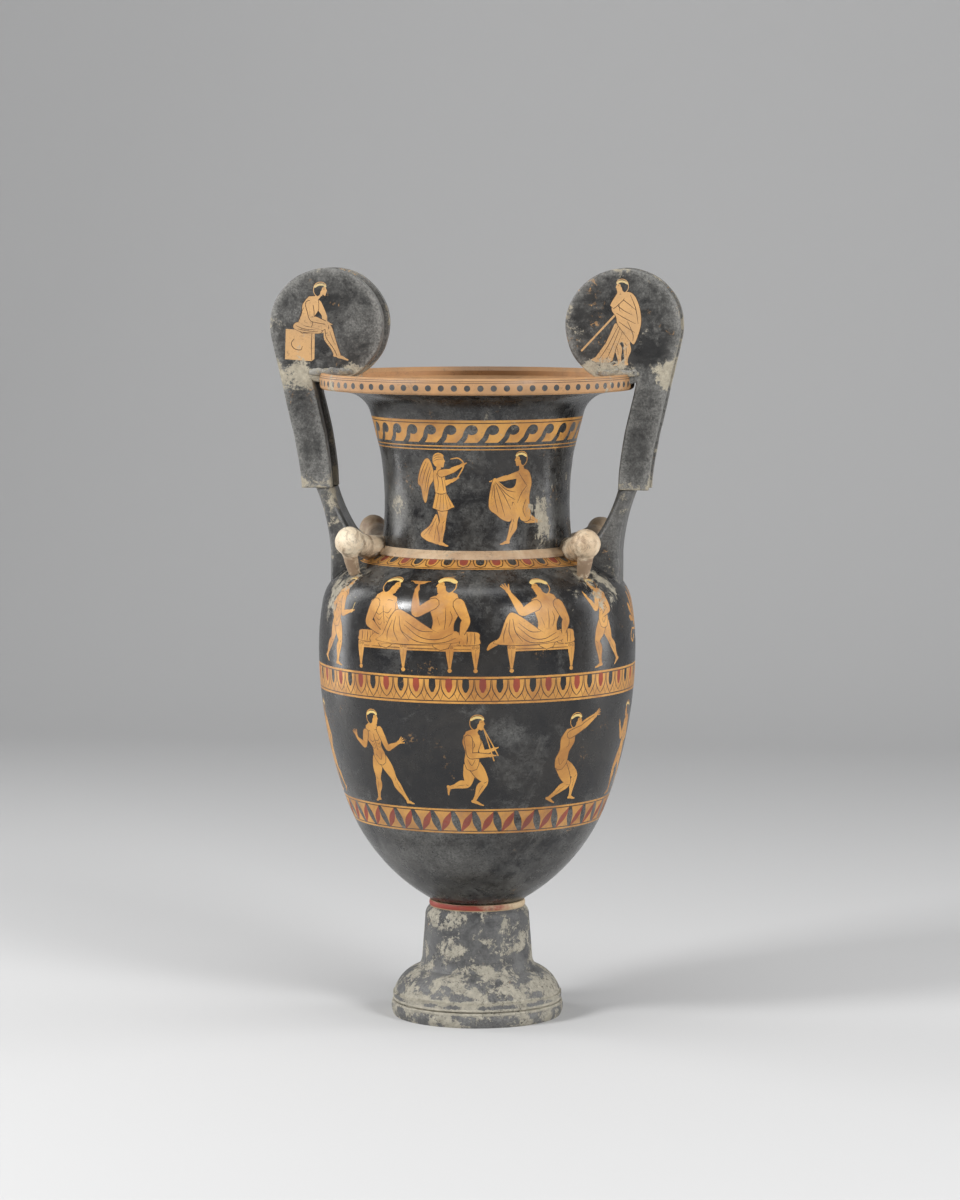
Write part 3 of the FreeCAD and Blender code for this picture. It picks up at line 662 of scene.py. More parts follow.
class Figure:
    """One reserved figure. Places are shares of its stature from its own foot point, x the
    way it faces. Limbs swell and thin like brush strokes, and all faces are alike."""

    def __init__(self, painting, x, ground, stature, side=1):
        self.painting, self.x, self.ground, self.stature, self.side = painting, x, ground, stature, side

    def spots(self, points):
        return [(self.x + px * self.stature * self.side, self.ground + py * self.stature)
                for px, py in points]

    def form(self, points, widths, edge=True):
        """A limb or mass of flesh, with a dark line round it where it lies over another."""
        sizes = np.array(widths, float) * self.stature
        spots = self.spots(points)
        if edge:
            self.painting.stroke(spots, sizes + OUTLINE, LINE)
        self.painting.stroke(spots, sizes, CLAY)

    def mark(self, points, width=0.26):
        self.painting.line(self.spots(points), width)

    def cloth(self, points, folds=(), round_it=True):
        """A piece of cloth with its outline and the lines of its folds."""
        spots = np.array(self.spots(points))
        if round_it:
            spots = smoothed(spots)
        middle = spots.mean(0)
        out = spots - middle
        grow = 1 + OUTLINE / np.maximum(np.hypot(*out.T), 1)
        self.painting.area(middle + out * grow[:, None], LINE)
        self.painting.area(spots, CLAY)
        for fold in folds:
            self.mark(fold, 0.29)

    def leg(self, hip, knee, ankle, toe, edge=True):
        hip, knee, ankle, toe = map(np.array, (hip, knee, ankle, toe))
        shin = ankle - knee
        back = np.array([shin[1], -shin[0]]) / max(np.hypot(*shin), 1e-6)
        if back @ (toe - ankle) > 0:
            back = -back
        thigh = (hip + knee) / 2 - back * 0.006
        calf = knee + shin * 0.33 + back * 0.009
        low = knee + shin * 0.72 + back * 0.002
        thick = [0.067, 0.062, 0.036, 0.044, 0.024, 0.0185]
        self.form([hip, thigh, knee, calf, low, ankle], thick, edge)
        self.mark([knee - back * 0.022 - shin * 0.03, knee - back * 0.010 + shin * 0.05,
                   knee + shin * 0.10], 0.22)
        self.mark([knee + shin * 0.18 - back * 0.004, knee + shin * 0.42,
                   knee + shin * 0.62 - back * 0.002], 0.2)
        heel = ankle + back * 0.014 + shin / max(np.hypot(*shin), 1e-6) * 0.018
        ball = heel * 0.3 + toe * 0.7
        instep = (heel + ball) / 2 + (ankle - heel) * 0.3
        self.form([heel, instep, ball, toe], [0.015, 0.016, 0.011, 0.007], False)
        self.form([ankle, heel * 0.5 + ankle * 0.5], [0.0155, 0.016], False)

    def arm(self, shoulder, elbow, wrist, reach=None, edge=True, spread=False):
        shoulder, elbow, wrist = map(np.array, (shoulder, elbow, wrist))
        upper = shoulder * 0.5 + elbow * 0.5
        fore = elbow * 0.68 + wrist * 0.32
        self.form([shoulder, upper, elbow, fore, wrist], [0.038, 0.034, 0.026, 0.0285, 0.0155], edge)
        way = wrist - elbow if reach is None else np.array(reach) - wrist
        way = way / max(np.hypot(*way), 1e-6)
        across = np.array([-way[1], way[0]])
        self.form([wrist, wrist + way * 0.026, wrist + way * 0.048], [0.0125, 0.0185, 0.012], False)
        if spread:
            for lean in (-1.15, -0.45, 0.2, 0.75):
                tip = wrist + way * (0.098 - 0.014 * lean * lean) + across * 0.034 * lean
                self.form([wrist + way * 0.034 + across * 0.010 * lean, tip], [0.0070, 0.0048], False)
        else:
            self.form([wrist + way * 0.036, wrist + way * 0.078], [0.0100, 0.0060], False)

    def trunk(self, hip, chest, open_chest=0.06, waist=0.050):
        """Hips, waist and ribs up a bent spine, and the bar of the shoulders."""
        hip, chest = np.array(hip), np.array(chest)
        spine = chest - hip
        way = spine / max(np.hypot(*spine), 1e-6)
        across = np.array([way[1], -way[0]])
        middle = hip + spine * 0.42
        ribs = hip + spine * 0.78
        body = [hip - way * 0.02, hip + way * 0.03, middle, ribs, chest]
        sizes = [0.068, 0.074, waist * 1.20, 0.078 + open_chest * 0.27, 0.060 + open_chest * 0.38]
        bar = [chest - across * open_chest, chest + way * 0.012, chest + across * open_chest]
        thick = [0.036, 0.040, 0.036]
        for edge in (True, False):
            for points, widths in ((body, sizes), (bar, thick)):
                grow = 0.5 if edge else 0
                sizes_mm = np.array(widths) * self.stature + grow
                self.painting.stroke(self.spots(points), sizes_mm, LINE if edge else CLAY)
        return chest - across * open_chest, chest + across * open_chest

    def head(self, chest, centre, looks=1, style="short"):
        """A plain calm profile, dark hair with a thin reserved edge and a pale fillet."""
        chest, centre = np.array(chest), np.array(centre)
        size = 0.138
        self.form([chest, centre - np.array([0.006 * looks, 0.035])], [0.030, 0.023], False)
        face = [
            (-0.26, -0.44), (-0.44, -0.20), (-0.49, 0.08), (-0.40, 0.34), (-0.16, 0.50), (0.12, 0.50),
            (0.31, 0.36), (0.38, 0.16), (0.47, -0.08), (0.39, -0.12), (0.41, -0.20), (0.37, -0.25),
            (0.38, -0.31), (0.34, -0.37), (0.33, -0.46), (0.20, -0.52), (0.02, -0.44),
        ]
        hair = [
            (-0.30, -0.46), (-0.52, -0.24), (-0.57, 0.06), (-0.48, 0.38), (-0.20, 0.58), (0.14, 0.57),
            (0.36, 0.40), (0.30, 0.27), (0.10, 0.20), (0.04, 0.00), (-0.04, -0.10), (-0.10, -0.34),
        ]

        def at(shape, grow=1.0):
            return self.spots([(centre[0] + px * size * looks * grow, centre[1] + py * size * grow)
                               for px, py in shape])

        self.painting.area(smoothed(np.array(at(face))), CLAY)
        if style == "bound":
            self.painting.area(smoothed(np.array(at(hair, 1.02))), CLAY)
            for lift in (0.05, 0.22, 0.40):
                fold = at([(-0.50, lift - 0.12), (-0.18, lift + 0.04), (0.16, lift + 0.06)])
                self.painting.line(fold, 0.2)
        else:
            self.painting.area(smoothed(np.array(at(hair, 1.09))), CLAY)
            self.painting.area(smoothed(np.array(at(hair, 0.99))), SLIPPED)
            fillet = at([(-0.50, 0.26), (-0.20, 0.42), (0.14, 0.42), (0.34, 0.30)])
            thick = 0.085 if style == "short" else 0.13
            self.painting.stroke(fillet, [thick * size * self.stature] * 4, CREAM)
        eye = at([(0.16, 0.06), (0.24, 0.09), (0.31, 0.06)])
        self.painting.line(eye, 0.16)
        self.painting.line(at([(0.13, 0.17), (0.32, 0.18)]), 0.14)


def smoothed(points, steps=4):
    """A closed outline rounded through its points."""
    rounded = []
    for four in zip(*(np.roll(points, -k, 0) for k in range(4))):
        rounded += eased(*four, steps)
    return np.array(rounded)


def muscles(figure, hip, chest, frontal=True):
    """A few thin lines for chest, belly and groin."""
    hip, chest = np.array(hip), np.array(chest)
    up = chest - hip
    way = up / np.hypot(*up)
    across = np.array([way[1], -way[0]])
    ribs = hip + up * 0.66
    if frontal:
        for turn in (-1, 1):
            side = across * turn
            figure.mark([ribs + side * 0.066 + way * 0.012, ribs + side * 0.036 - way * 0.014,
                         ribs + side * 0.002])
            figure.mark([chest + side * 0.078 - way * 0.004, chest + side * 0.040 + way * 0.008,
                         chest + side * 0.008 - way * 0.012])
            figure.mark([ribs + side * 0.058 - way * 0.030, ribs + side * 0.040 - way * 0.052,
                         ribs + side * 0.014 - way * 0.030], 0.2)
            figure.mark([ribs + side * 0.056 - way * 0.062, ribs + side * 0.036 - way * 0.086,
                         ribs + side * 0.014 - way * 0.066], 0.2)
        figure.mark([chest - way * 0.020, ribs + way * 0.01, hip + up * 0.26])
        navel = hip + up * 0.30
        figure.painting.spot(figure.spots([navel])[0], 0.45, LINE, 8)
    else:
        figure.mark([ribs + across * 0.015 + way * 0.05, ribs + across * 0.03,
                     ribs + across * 0.012 - way * 0.03])
    figure.mark([hip - across * 0.042 + way * 0.035, hip - way * 0.03, hip + across * 0.035 + way * 0.03])


def dancer(painting, x, ground, stature, side=1):
    """Strides out with both hands raised at the sides."""
    f = Figure(painting, x, ground, stature, side)
    hip, chest = (0.03, 0.50), (-0.03, 0.765)
    f.leg((-0.005, 0.48), (-0.050, 0.27), (-0.100, 0.055), (-0.155, 0.012), False)
    f.leg((0.060, 0.48), (0.170, 0.28), (0.300, 0.050), (0.375, 0.016))
    left, right = f.trunk(hip, chest, 0.098)
    muscles(f, hip, chest)
    f.arm(left, (-0.165, 0.605), (-0.265, 0.670), (-0.30, 0.74), spread=True)
    f.arm(right, (0.145, 0.600), (0.265, 0.655), (0.34, 0.71), spread=True)
    f.head(chest, (-0.005, 0.905))


def piper(painting, x, ground, stature, side=1):
    """Runs and plays the double pipes."""
    f = Figure(painting, x, ground, stature, side)
    hip, chest = (0.00, 0.485), (0.00, 0.755)
    f.leg((-0.015, 0.46), (-0.045, 0.255), (-0.235, 0.215), (-0.255, 0.135), False)
    f.leg((0.025, 0.46), (0.135, 0.285), (0.025, 0.075), (0.125, 0.020))
    f.arm((0.05, 0.735), (0.115, 0.585), (0.190, 0.615), edge=False)
    f.trunk(hip, chest, 0.045, 0.052)
    f.head(chest, (0.065, 0.895))
    for tip in ((0.265, 0.560), (0.225, 0.505)):
        painting.stroke(f.spots([(0.115, 0.845), tip]), [0.40, 0.55], CLAY)
    f.arm((-0.035, 0.735), (-0.015, 0.560), (0.165, 0.560))
    muscles(f, hip, chest, False)


def reacher(painting, x, ground, stature, side=1):
    """Sinks at the knees and stretches both arms up in front."""
    f = Figure(painting, x, ground, stature, side)
    hip, chest = (-0.035, 0.46), (0.035, 0.735)
    f.arm((0.075, 0.745), (0.195, 0.840), (0.345, 0.915), spread=True, edge=False)
    f.leg((0.00, 0.425), (0.185, 0.300), (0.175, 0.075), (0.255, 0.040), False)
    f.leg((-0.03, 0.425), (0.105, 0.215), (-0.120, 0.070), (-0.035, 0.015))
    f.trunk(hip, chest, 0.035, 0.050)
    muscles(f, hip, chest, False)
    f.head(chest, (0.115, 0.875))
    f.arm((0.045, 0.740), (0.190, 0.800), (0.345, 0.890), (0.40, 0.93))


def walker(painting, x, ground, stature, side=1):
    """Steps forward with a small thing held out in the hand."""
    f = Figure(painting, x, ground, stature, side)
    hip, chest = (0.00, 0.495), (0.035, 0.770)
    f.arm((-0.03, 0.745), (-0.105, 0.625), (-0.085, 0.560), edge=False)
    f.leg((-0.015, 0.47), (-0.060, 0.275), (-0.185, 0.095), (-0.145, 0.030), False)
    f.leg((0.02, 0.47), (0.105, 0.270), (0.060, 0.045), (0.140, 0.012))
    f.trunk(hip, chest, 0.062)
    muscles(f, hip, chest)
    f.arm((0.075, 0.745), (0.110, 0.555), (0.235, 0.585))
    painting.line(f.spots([(0.27, 0.575), (0.300, 0.680)]), 0.5, CREAM)
    f.head(chest, (0.045, 0.905))


def server(painting, x, ground, stature, side=1):
    """Walks up with one hand raised before the face."""
    f = Figure(painting, x, ground, stature, side)
    hip, chest = (-0.015, 0.500), (-0.025, 0.770)
    f.leg((-0.035, 0.47), (-0.100, 0.285), (-0.225, 0.085), (-0.180, 0.022), False)
    f.leg((0.010, 0.47), (0.110, 0.285), (0.065, 0.050), (0.145, 0.012))
    f.trunk(hip, chest, 0.066)
    muscles(f, hip, chest)
    f.arm((0.025, 0.745), (0.090, 0.620), (0.185, 0.745), (0.21, 0.80))
    f.arm((-0.075, 0.745), (-0.125, 0.605), (-0.020, 0.545))
    f.head(chest, (0.015, 0.905))


def jumper(painting, x, ground, stature, side=1):
    """Leans back in a dance, one arm up and one back."""
    f = Figure(painting, x, ground, stature, side)
    hip, chest = (0.02, 0.490), (-0.035, 0.755)
    f.arm((0.02, 0.745), (0.125, 0.815), (0.195, 0.925), edge=False, spread=True)
    f.leg((0.04, 0.465), (0.175, 0.370), (0.165, 0.150), (0.250, 0.130), False)
    f.leg((0.00, 0.465), (0.020, 0.255), (-0.085, 0.055), (-0.010, 0.012))
    f.trunk(hip, chest, 0.045)
    muscles(f, hip, chest)
    f.arm((-0.08, 0.735), (-0.185, 0.640), (-0.265, 0.560), spread=True)
    f.head(chest, (-0.025, 0.895))


def cup(painting, x, y, wide):
    """A shallow drinking cup on a stemmed foot."""
    bowl = [(x - wide, y + wide * 0.42), (x - wide * 0.55, y + wide * 0.06), (x, y - wide * 0.05),
            (x + wide * 0.55, y + wide * 0.06), (x + wide, y + wide * 0.42)]
    painting.area(bowl, CLAY)
    ears = [(x - wide * 1.25, y + wide * 0.45), (x + wide * 1.25, y + wide * 0.45)]
    painting.stroke(ears, [0.35, 0.35], CLAY)
    painting.stroke([(x, y), (x, y - wide * 0.4)], [0.6, 0.9], CLAY)


def couch(painting, left, right, ground, seat, cushions, middle=True):
    """A dining couch: rail, legs with scrolled heads, two of them in the middle of a long one,
    and striped cushions, each given as its start, end and height."""
    rail = 3.1
    painting.area([(left, seat - rail), (right, seat - rail),
                   (right, seat + rail), (left, seat + rail)], CLAY)
    for lift in (-1.5, -1.0, 1.5):
        along = (left + 1, (left + right) / 2, right - 1)
        painting.line([(x, seat + lift) for x in along], 0.18)
    legs = [left + 3.2, right - 3.2]
    if middle:
        legs += [left + (right - left) * 0.42, left + (right - left) * 0.78]
    for x in legs:
        post = [(x, seat + 1.6), (x, seat - 4), (x, ground + 8), (x, ground + 4.2)]
        painting.stroke(post, [3.3, 3.0, 1.5, 1.0], CLAY)
        painting.line([(x, seat - 2), (x, ground + 9)], 0.16)
        painting.spot((x, ground + 2.5), 1.75, CLAY, 12)
        painting.line([(x - 1.7, ground + 4.4), (x + 1.7, ground + 4.4)], 0.22)
        for side in (-1.5, 1.5):
            for size, colour, count in ((1.25, LINE, 10), (0.95, CLAY, 10), (0.32, LINE, 8)):
                painting.spot((x + side, seat + 0.2), size, colour, count)
    for start, end, tall in cushions:
        low = seat + rail - 0.4
        edge = [(start, low), (start - 0.8, low + tall * 0.5), (start + 0.8, low + tall),
                (end - 0.8, low + tall), (end + 0.8, low + tall * 0.5), (end, low)]
        outline = smoothed(np.array(edge))
        centre = outline.mean(0)
        painting.area(centre + (outline - centre) * 1.07, LINE)
        painting.area(outline, CLAY)
        stripes = int((end - start) / 2.6)
        for k in range(1, stripes):
            x = start + (end - start) * k / stripes
            stripe = [(x, low + 0.4), (x + 0.3, low + tall * 0.5), (x, low + tall - 0.4)]
            painting.line(stripe, 0.34 if k % 2 else 0.16)


def reclining(painting, x, seat, stature, side=1, arms="cup", tuck=1.0):
    """Lies on the couch seen from the back, the legs under a cloak with a knee drawn up."""
    f = Figure(painting, x, seat, stature, side)
    hip, chest = (0.00, 0.05), (0.02, 0.285)
    knee = (-0.310, 0.225)
    cloak = [(0.11, 0.02), (0.095, 0.090), (-0.02, 0.080), (-0.12, 0.130), (-0.22, 0.190), knee,
             (-0.362, 0.175), (-0.415, 0.055), (-0.46, 0.010), (-0.20, -0.004)]
    foot = [(-0.44 * tuck, 0.018), (-0.485 * tuck, -0.004), (-0.515 * tuck, -0.030)]
    f.form(foot, [0.018, 0.017, 0.008], False)
    f.trunk(hip, chest, 0.085, 0.058)
    folds = [[(0.07, 0.075), (-0.02, 0.035), (-0.14, 0.045), (-0.26, 0.125)],
             [(0.09, 0.045), (0.00, 0.012), (-0.16, 0.015), (-0.28, 0.085)],
             [(-0.30, 0.180), (-0.28, 0.09), (-0.22, 0.02)],
             [(-0.325, 0.175), (-0.335, 0.09), (-0.30, 0.015)],
             [(-0.35, 0.150), (-0.38, 0.07), (-0.38, 0.015)],
             [(-0.06, 0.085), (-0.15, 0.09), (-0.25, 0.150)]]

    def tucked(points):
        return [(px * tuck if px < -0.05 else px, py) for px, py in points]

    f.cloth(tucked(cloak), [tucked(fold) for fold in folds])
    f.mark([(0.015, 0.10), (0.022, 0.17), (0.02, 0.245)])
    f.mark([(0.045, 0.12), (0.065, 0.18), (0.050, 0.225)])
    f.mark([(-0.015, 0.13), (-0.035, 0.185)])
    f.arm((0.105, 0.275), (0.155, 0.165), (0.130, 0.075), (0.13, 0.04))
    if arms == "cup":
        f.arm((-0.065, 0.275), (-0.180, 0.205), (-0.205, 0.350), (-0.205, 0.41))
        cup(painting, *f.spots([(-0.205, 0.425)])[0], 0.064 * stature)
    else:
        f.arm((-0.065, 0.275), (-0.170, 0.225), (-0.245, 0.365), (-0.27, 0.42), spread=True)
    f.head(chest, (-0.005, 0.420), -1, "wide")


def lounging(painting, x, seat, stature, side=1):
    """Lies on the couch seen from the front, one hand on the cushion and one on the knee."""
    f = Figure(painting, x, seat, stature, side)
    hip, chest = (0.02, 0.05), (-0.02, 0.275)
    f.arm((0.055, 0.265), (0.115, 0.150), (0.190, 0.060), edge=False)
    f.trunk(hip, chest, 0.075, 0.058)
    cloak = [(-0.09, 0.00), (-0.05, 0.070), (0.05, 0.085), (0.13, 0.115), (0.20, 0.100), (0.28, 0.060),
             (0.46, 0.025), (0.52, -0.004), (0.20, -0.006)]
    folds = [[(-0.03, 0.060), (0.06, 0.045), (0.14, 0.09)],
             [(0.00, 0.030), (0.10, 0.025), (0.19, 0.08)],
             [(0.10, 0.005), (0.20, 0.030), (0.26, 0.05)],
             [(0.22, 0.005), (0.32, 0.020), (0.42, 0.015)]]
    f.cloth(cloak, folds)
    muscles(f, (0.02, 0.075), chest)
    f.arm((-0.085, 0.260), (-0.125, 0.135), (-0.030, 0.070), (0.02, 0.06))
    f.head(chest, (0.010, 0.410))


lower_ground = body_paint.up(195.0)
LOWER_STATURE = 83
for bearing, make, side in (
    (-72, walker, -1), (-34, dancer, 1), (5, piper, 1), (42, reacher, 1), (82, server, -1),
    (122, jumper, 1), (162, piper, -1), (203, dancer, -1), (245, reacher, -1),
):
    make(body_paint, body_paint.at(bearing), lower_ground, LOWER_STATURE, side)

upper_ground = body_paint.up(308.5)
UPPER_STATURE = 80
SEAT, CUSHION = 21.5, 2.4
LONG_COUCH, SHORT_COUCH, COUCH_GAP = 107, 58, 22
walker(body_paint, body_paint.at(-55), upper_ground, UPPER_STATURE)
server(body_paint, body_paint.at(59), upper_ground, UPPER_STATURE, -1)
for start in (-40, 140):
    left = body_paint.at(start)
    right = left + LONG_COUCH
    seat = upper_ground + SEAT
    lying = seat + CUSHION
    cushions = [(left + 1, left + 18, 8.5), (right - 19, right - 1, 10)]
    couch(body_paint, left, right, upper_ground, seat, cushions)
    lounging(body_paint, left + 25, lying, 122)
    reclining(body_paint, right - 30, lying, 124)
    left = right + COUCH_GAP
    right = left + SHORT_COUCH
    couch(body_paint, left, right, upper_ground, seat, [(right - 15, right - 1, 10.5)], False)
    reclining(body_paint, right - 25, lying, 118, arms="hail", tuck=0.80)
server(body_paint, body_paint.at(126), upper_ground, UPPER_STATURE)
walker(body_paint, body_paint.at(239), upper_ground, UPPER_STATURE, -1)


def palmette(painting, x, y, tall, colour=CLAY):
    """A fan of leaves on two scrolls, the usual filling under a handle."""
    for k in range(-3, 4):
        lean = math.radians(k * 24)
        way = np.array([math.sin(lean), math.cos(lean)])
        reach = tall * (1 - 0.05 * k * k)
        base = np.array([x, y]) + way * tall * 0.16
        painting.stroke([base, base + way * reach * 0.55, base + way * reach * 0.84],
                        [tall * 0.025, tall * 0.085, tall * 0.045], colour)
    painting.spot((x, y), tall * 0.12, colour)
    for side in (-1, 1):
        scroll = [(x + side * tall * 0.05, y - tall * 0.20), (x + side * tall * 0.42, y - tall * 0.16),
                  (x + side * tall * 0.60, y - tall * 0.38), (x + side * tall * 0.40, y - tall * 0.52),
                  (x + side * tall * 0.28, y - tall * 0.36)]
        painting.stroke(scroll, [tall * 0.03] * 4 + [tall * 0.045], colour)


for bearing in (90, 270):
    palmette(body_paint, body_paint.at(bearing), upper_ground + 32, 30)


def near(places, reach):
    """A share that is 1 round each of some places on the pot and fades to 0 at the reach."""
    def amount(mix):
        total = 0
        for place in places:
            ends = {0: mix.place(), 1: place}
            off = mix.node("ShaderNodeVectorMath", ends, operation="DISTANCE").outputs["Value"]
            total = mix.add(mix.spread(off, reach * 0.45, reach, 1, 0), total)
        return total
    return amount


CLOUDS = [(0.030, -0.128, 0.272), (0.048, -0.122, 0.236), (-0.05, -0.11, 0.33)]


def body_film(mix):
    """The plain bowl below the bands and the shoulder are greyer than the rest, the leaf band
    is dulled, and a few clouds hang between the figures in front."""
    level = mix.level()
    bowl = mix.spread(level, 0.172, 0.150, 0, 0.30)
    shoulder = mix.spread(level, 0.345, 0.385, 0, 0.25)
    leaves = mix.times(around(0.181, 0.020)(mix), 0.42)
    smoke = mix.times(near(CLOUDS, 0.034)(mix), 0.26)
    return mix.add(mix.add(bowl, shoulder), mix.add(leaves, smoke))


def body_crust(mix):
    """Earth caught under the bird heads and at the feet of the handles."""
    corners = [(x * 0.108, y * 0.062, 0.376) for x in (-1, 1) for y in (-1, 1)]
    return mix.times(near(corners, 0.045)(mix), 0.42)


FIGURE_CLAY = (0.61, 0.305, 0.066, 1)
FIGURE_CLAY_DEEP = (0.38, 0.165, 0.038, 1)
RED_PAINT = (0.30, 0.045, 0.016, 1)


def painted_set(part, film, crust, gloss, more_film=None, more_crust=None, chips=0.0):
    """The finishes of one painted piece, in the order of the colour numbers."""
    shared = dict(more_film=more_film, more_crust=more_crust, crust=crust, relief=0.16)
    return [
        fired(f"{part}_slip", SLIP, SLIP_BROWN, film=film, chips=chips, gloss=gloss, matt=0.42,
              specks=0.3, **shared),
        fired(f"{part}_reserved_clay", FIGURE_CLAY, FIGURE_CLAY_DEEP, film=film - 0.05, gloss=0.42,
              film_share=0.38, specks=0.25, **shared),
        fired(f"{part}_red", RED_PAINT, (0.19, 0.035, 0.02, 1), film=film, gloss=0.55,
              film_share=0.3, **shared),
        fired(f"{part}_relief_line", (0.035, 0.018, 0.010, 1), (0.06, 0.03, 0.015, 1),
              film=film - 0.2, gloss=0.35, **shared),
        fired(f"{part}_cream_paint", (0.72, 0.52, 0.18, 1), (0.60, 0.42, 0.16, 1),
              film=film - 0.2, gloss=0.5, film_share=0.3, **shared),
    ]


body_finishes = painted_set("body", film=0.36, crust=0.08, gloss=0.25, more_film=body_film,
                            more_crust=body_crust, chips=0.35)
bare_inside = fired("bare_inside", (0.58, 0.32, 0.145, 1), (0.42, 0.23, 0.11, 1), film=0.2, crust=0.15,
                    gloss=0.62, matt=0.85, relief=0.5, film_share=0.4)
INSIDE = len(body_finishes)
body_top = body_low + BODY_RISE
body_floor = body_low + FLOOR_RISE
body_patches = [
    turned(np.array([(0, body_low), (SEAT_REACH, body_low)]), SLIPPED, 0),
    wrapped(body_paint, body_outside, 84),
    turned(np.array([(MOUTH_OUT, body_top), (MOUTH_IN, body_top)]), INSIDE, 0),
    turned(np.array([(MOUTH_IN, body_top), (MOUTH_IN, body_low + BODY_THROAT)]), INSIDE, 0),
    turned(body_inside, INSIDE),
    turned(np.array([(FLOOR_REACH, body_floor), (0, body_floor)]), INSIDE, 0),
]
body_piece = shell("painted_body", body_patches, body_finishes + [bare_inside])
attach(body_piece, "root")
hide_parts("body")

# Neck: a waisted tube with a wide lip, luted onto the body's mouth while leather-hard.
# A wave pattern runs round it above a winged archer and a dancer in a lifted cloak.
neck_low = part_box("neck")[0].z / MM
NECK_OUT, LIP_REACH, LIP_LOW, LIP_HIGH = 82.0, 126.0, 138.7, 144.7
neck_outside = drawn(
    [
        (NECK_OUT, 0, 280.0, "right"),
        (78.8, 42.2, 263.5, "right"),
        (82.5, 86.2),
        (90.5, 117.8, 24.0, "right"),
        (109.6, 135.8),
        (LIP_REACH, LIP_LOW),
    ],
    neck_low,
)
neck_inside = drawn(
    [
        (LIP_REACH, LIP_HIGH),
        (108.56, 141.71, 30.0, "left"),
        (84.68, 119.25),
        (76.63, 87.45, 269.5, "left"),
        (72.8, 42.2, 286.0, "left"),
        (MOUTH_IN, 0),
    ],
    neck_low,
    4,
)
neck_paint = sheet_on(neck_outside, 84)

WAVES = 31
low, high = neck_paint.up(492.6), neck_paint.up(514.9)
neck_paint.band(low, high, CLAY)
neck_paint.band(high - 2.9, high - 2.1, LINE)
neck_paint.band(low + 1.0, low + 3.6, SLIPPED)
neck_paint.band(low - 2.9, low - 2.0, CLAY)
pitch = neck_paint.width / WAVES
tall = high - 2.9 - (low + 3.0)
stem = [(-0.62, 0.0), (-0.42, 0.09), (-0.25, 0.28), (-0.17, 0.52), (-0.06, 0.74)]
thick = [w * pitch for w in (0.05, 0.12, 0.125, 0.12, 0.12)]
turn = np.linspace(0, math.tau, 20, endpoint=False)
for count in range(WAVES):
    x, y = pitch * (count + 0.5), low + 3.0
    neck_paint.stroke([(x + px * pitch, y + py * tall) for px, py in stem], thick, SLIPPED)
    wave_head = np.stack([x + pitch * (0.10 + 0.285 * np.cos(turn)),
                          y + tall * (0.68 + 0.255 * np.sin(turn))], 1)
    neck_paint.area(wave_head, SLIPPED)


def archer(painting, x, ground, stature, side=1):
    """A winged archer in a short belted tunic aims a curved bow."""
    f = Figure(painting, x, ground, stature, side)
    wing = [(-0.055, 0.80), (-0.10, 0.92), (-0.165, 0.90), (-0.235, 0.78), (-0.265, 0.66), (-0.225, 0.62),
            (-0.20, 0.50), (-0.160, 0.46), (-0.115, 0.62), (-0.060, 0.70)]
    feathers = [[(-0.11, 0.88), (-0.17, 0.76), (-0.21, 0.64)],
                [(-0.09, 0.84), (-0.14, 0.72), (-0.175, 0.58)],
                [(-0.08, 0.80), (-0.12, 0.70), (-0.150, 0.56)],
                [(-0.14, 0.89), (-0.21, 0.77), (-0.245, 0.68)]]
    f.cloth(wing, feathers)
    robe = [(-0.02, 0.34), (-0.11, 0.22), (-0.225, 0.13), (-0.17, 0.075), (-0.08, 0.045), (0.02, 0.050)]
    f.cloth(robe, [[(-0.03, 0.30), (-0.12, 0.13)], [(-0.02, 0.26), (-0.05, 0.06)],
                   [(-0.06, 0.24), (-0.18, 0.12)]])
    f.leg((0.03, 0.50), (0.05, 0.27), (0.035, 0.050), (0.115, 0.012))
    f.arm((0.04, 0.765), (0.06, 0.660), (0.165, 0.700), edge=False)
    tunic = [(-0.045, 0.80), (0.055, 0.80), (0.080, 0.66), (0.095, 0.56), (0.185, 0.42), (0.14, 0.405),
             (0.105, 0.385), (0.03, 0.375), (-0.075, 0.405), (-0.035, 0.56), (-0.055, 0.68)]
    pleats = [[(0.0, 0.56), (-0.035, 0.40)], [(0.03, 0.56), (0.01, 0.39)], [(0.055, 0.56), (0.06, 0.39)],
              [(0.075, 0.56), (0.105, 0.40)], [(0.085, 0.57), (0.145, 0.42)],
              [(-0.035, 0.565), (0.03, 0.55), (0.09, 0.565)],
              [(-0.02, 0.78), (0.00, 0.68), (-0.01, 0.59)], [(0.03, 0.78), (0.05, 0.68), (0.06, 0.59)]]
    f.cloth(tunic, pleats, round_it=False)
    f.head((0.005, 0.79), (0.025, 0.905), 1, "bound")
    f.arm((0.035, 0.77), (0.145, 0.795), (0.255, 0.850))
    bow = [(0.155, 0.925), (0.235, 0.935), (0.290, 0.890), (0.285, 0.830), (0.215, 0.720), (0.165, 0.680)]
    painting.stroke(f.spots(bow), [0.35, 0.55, 0.6, 0.6, 0.5, 0.35], CLAY)


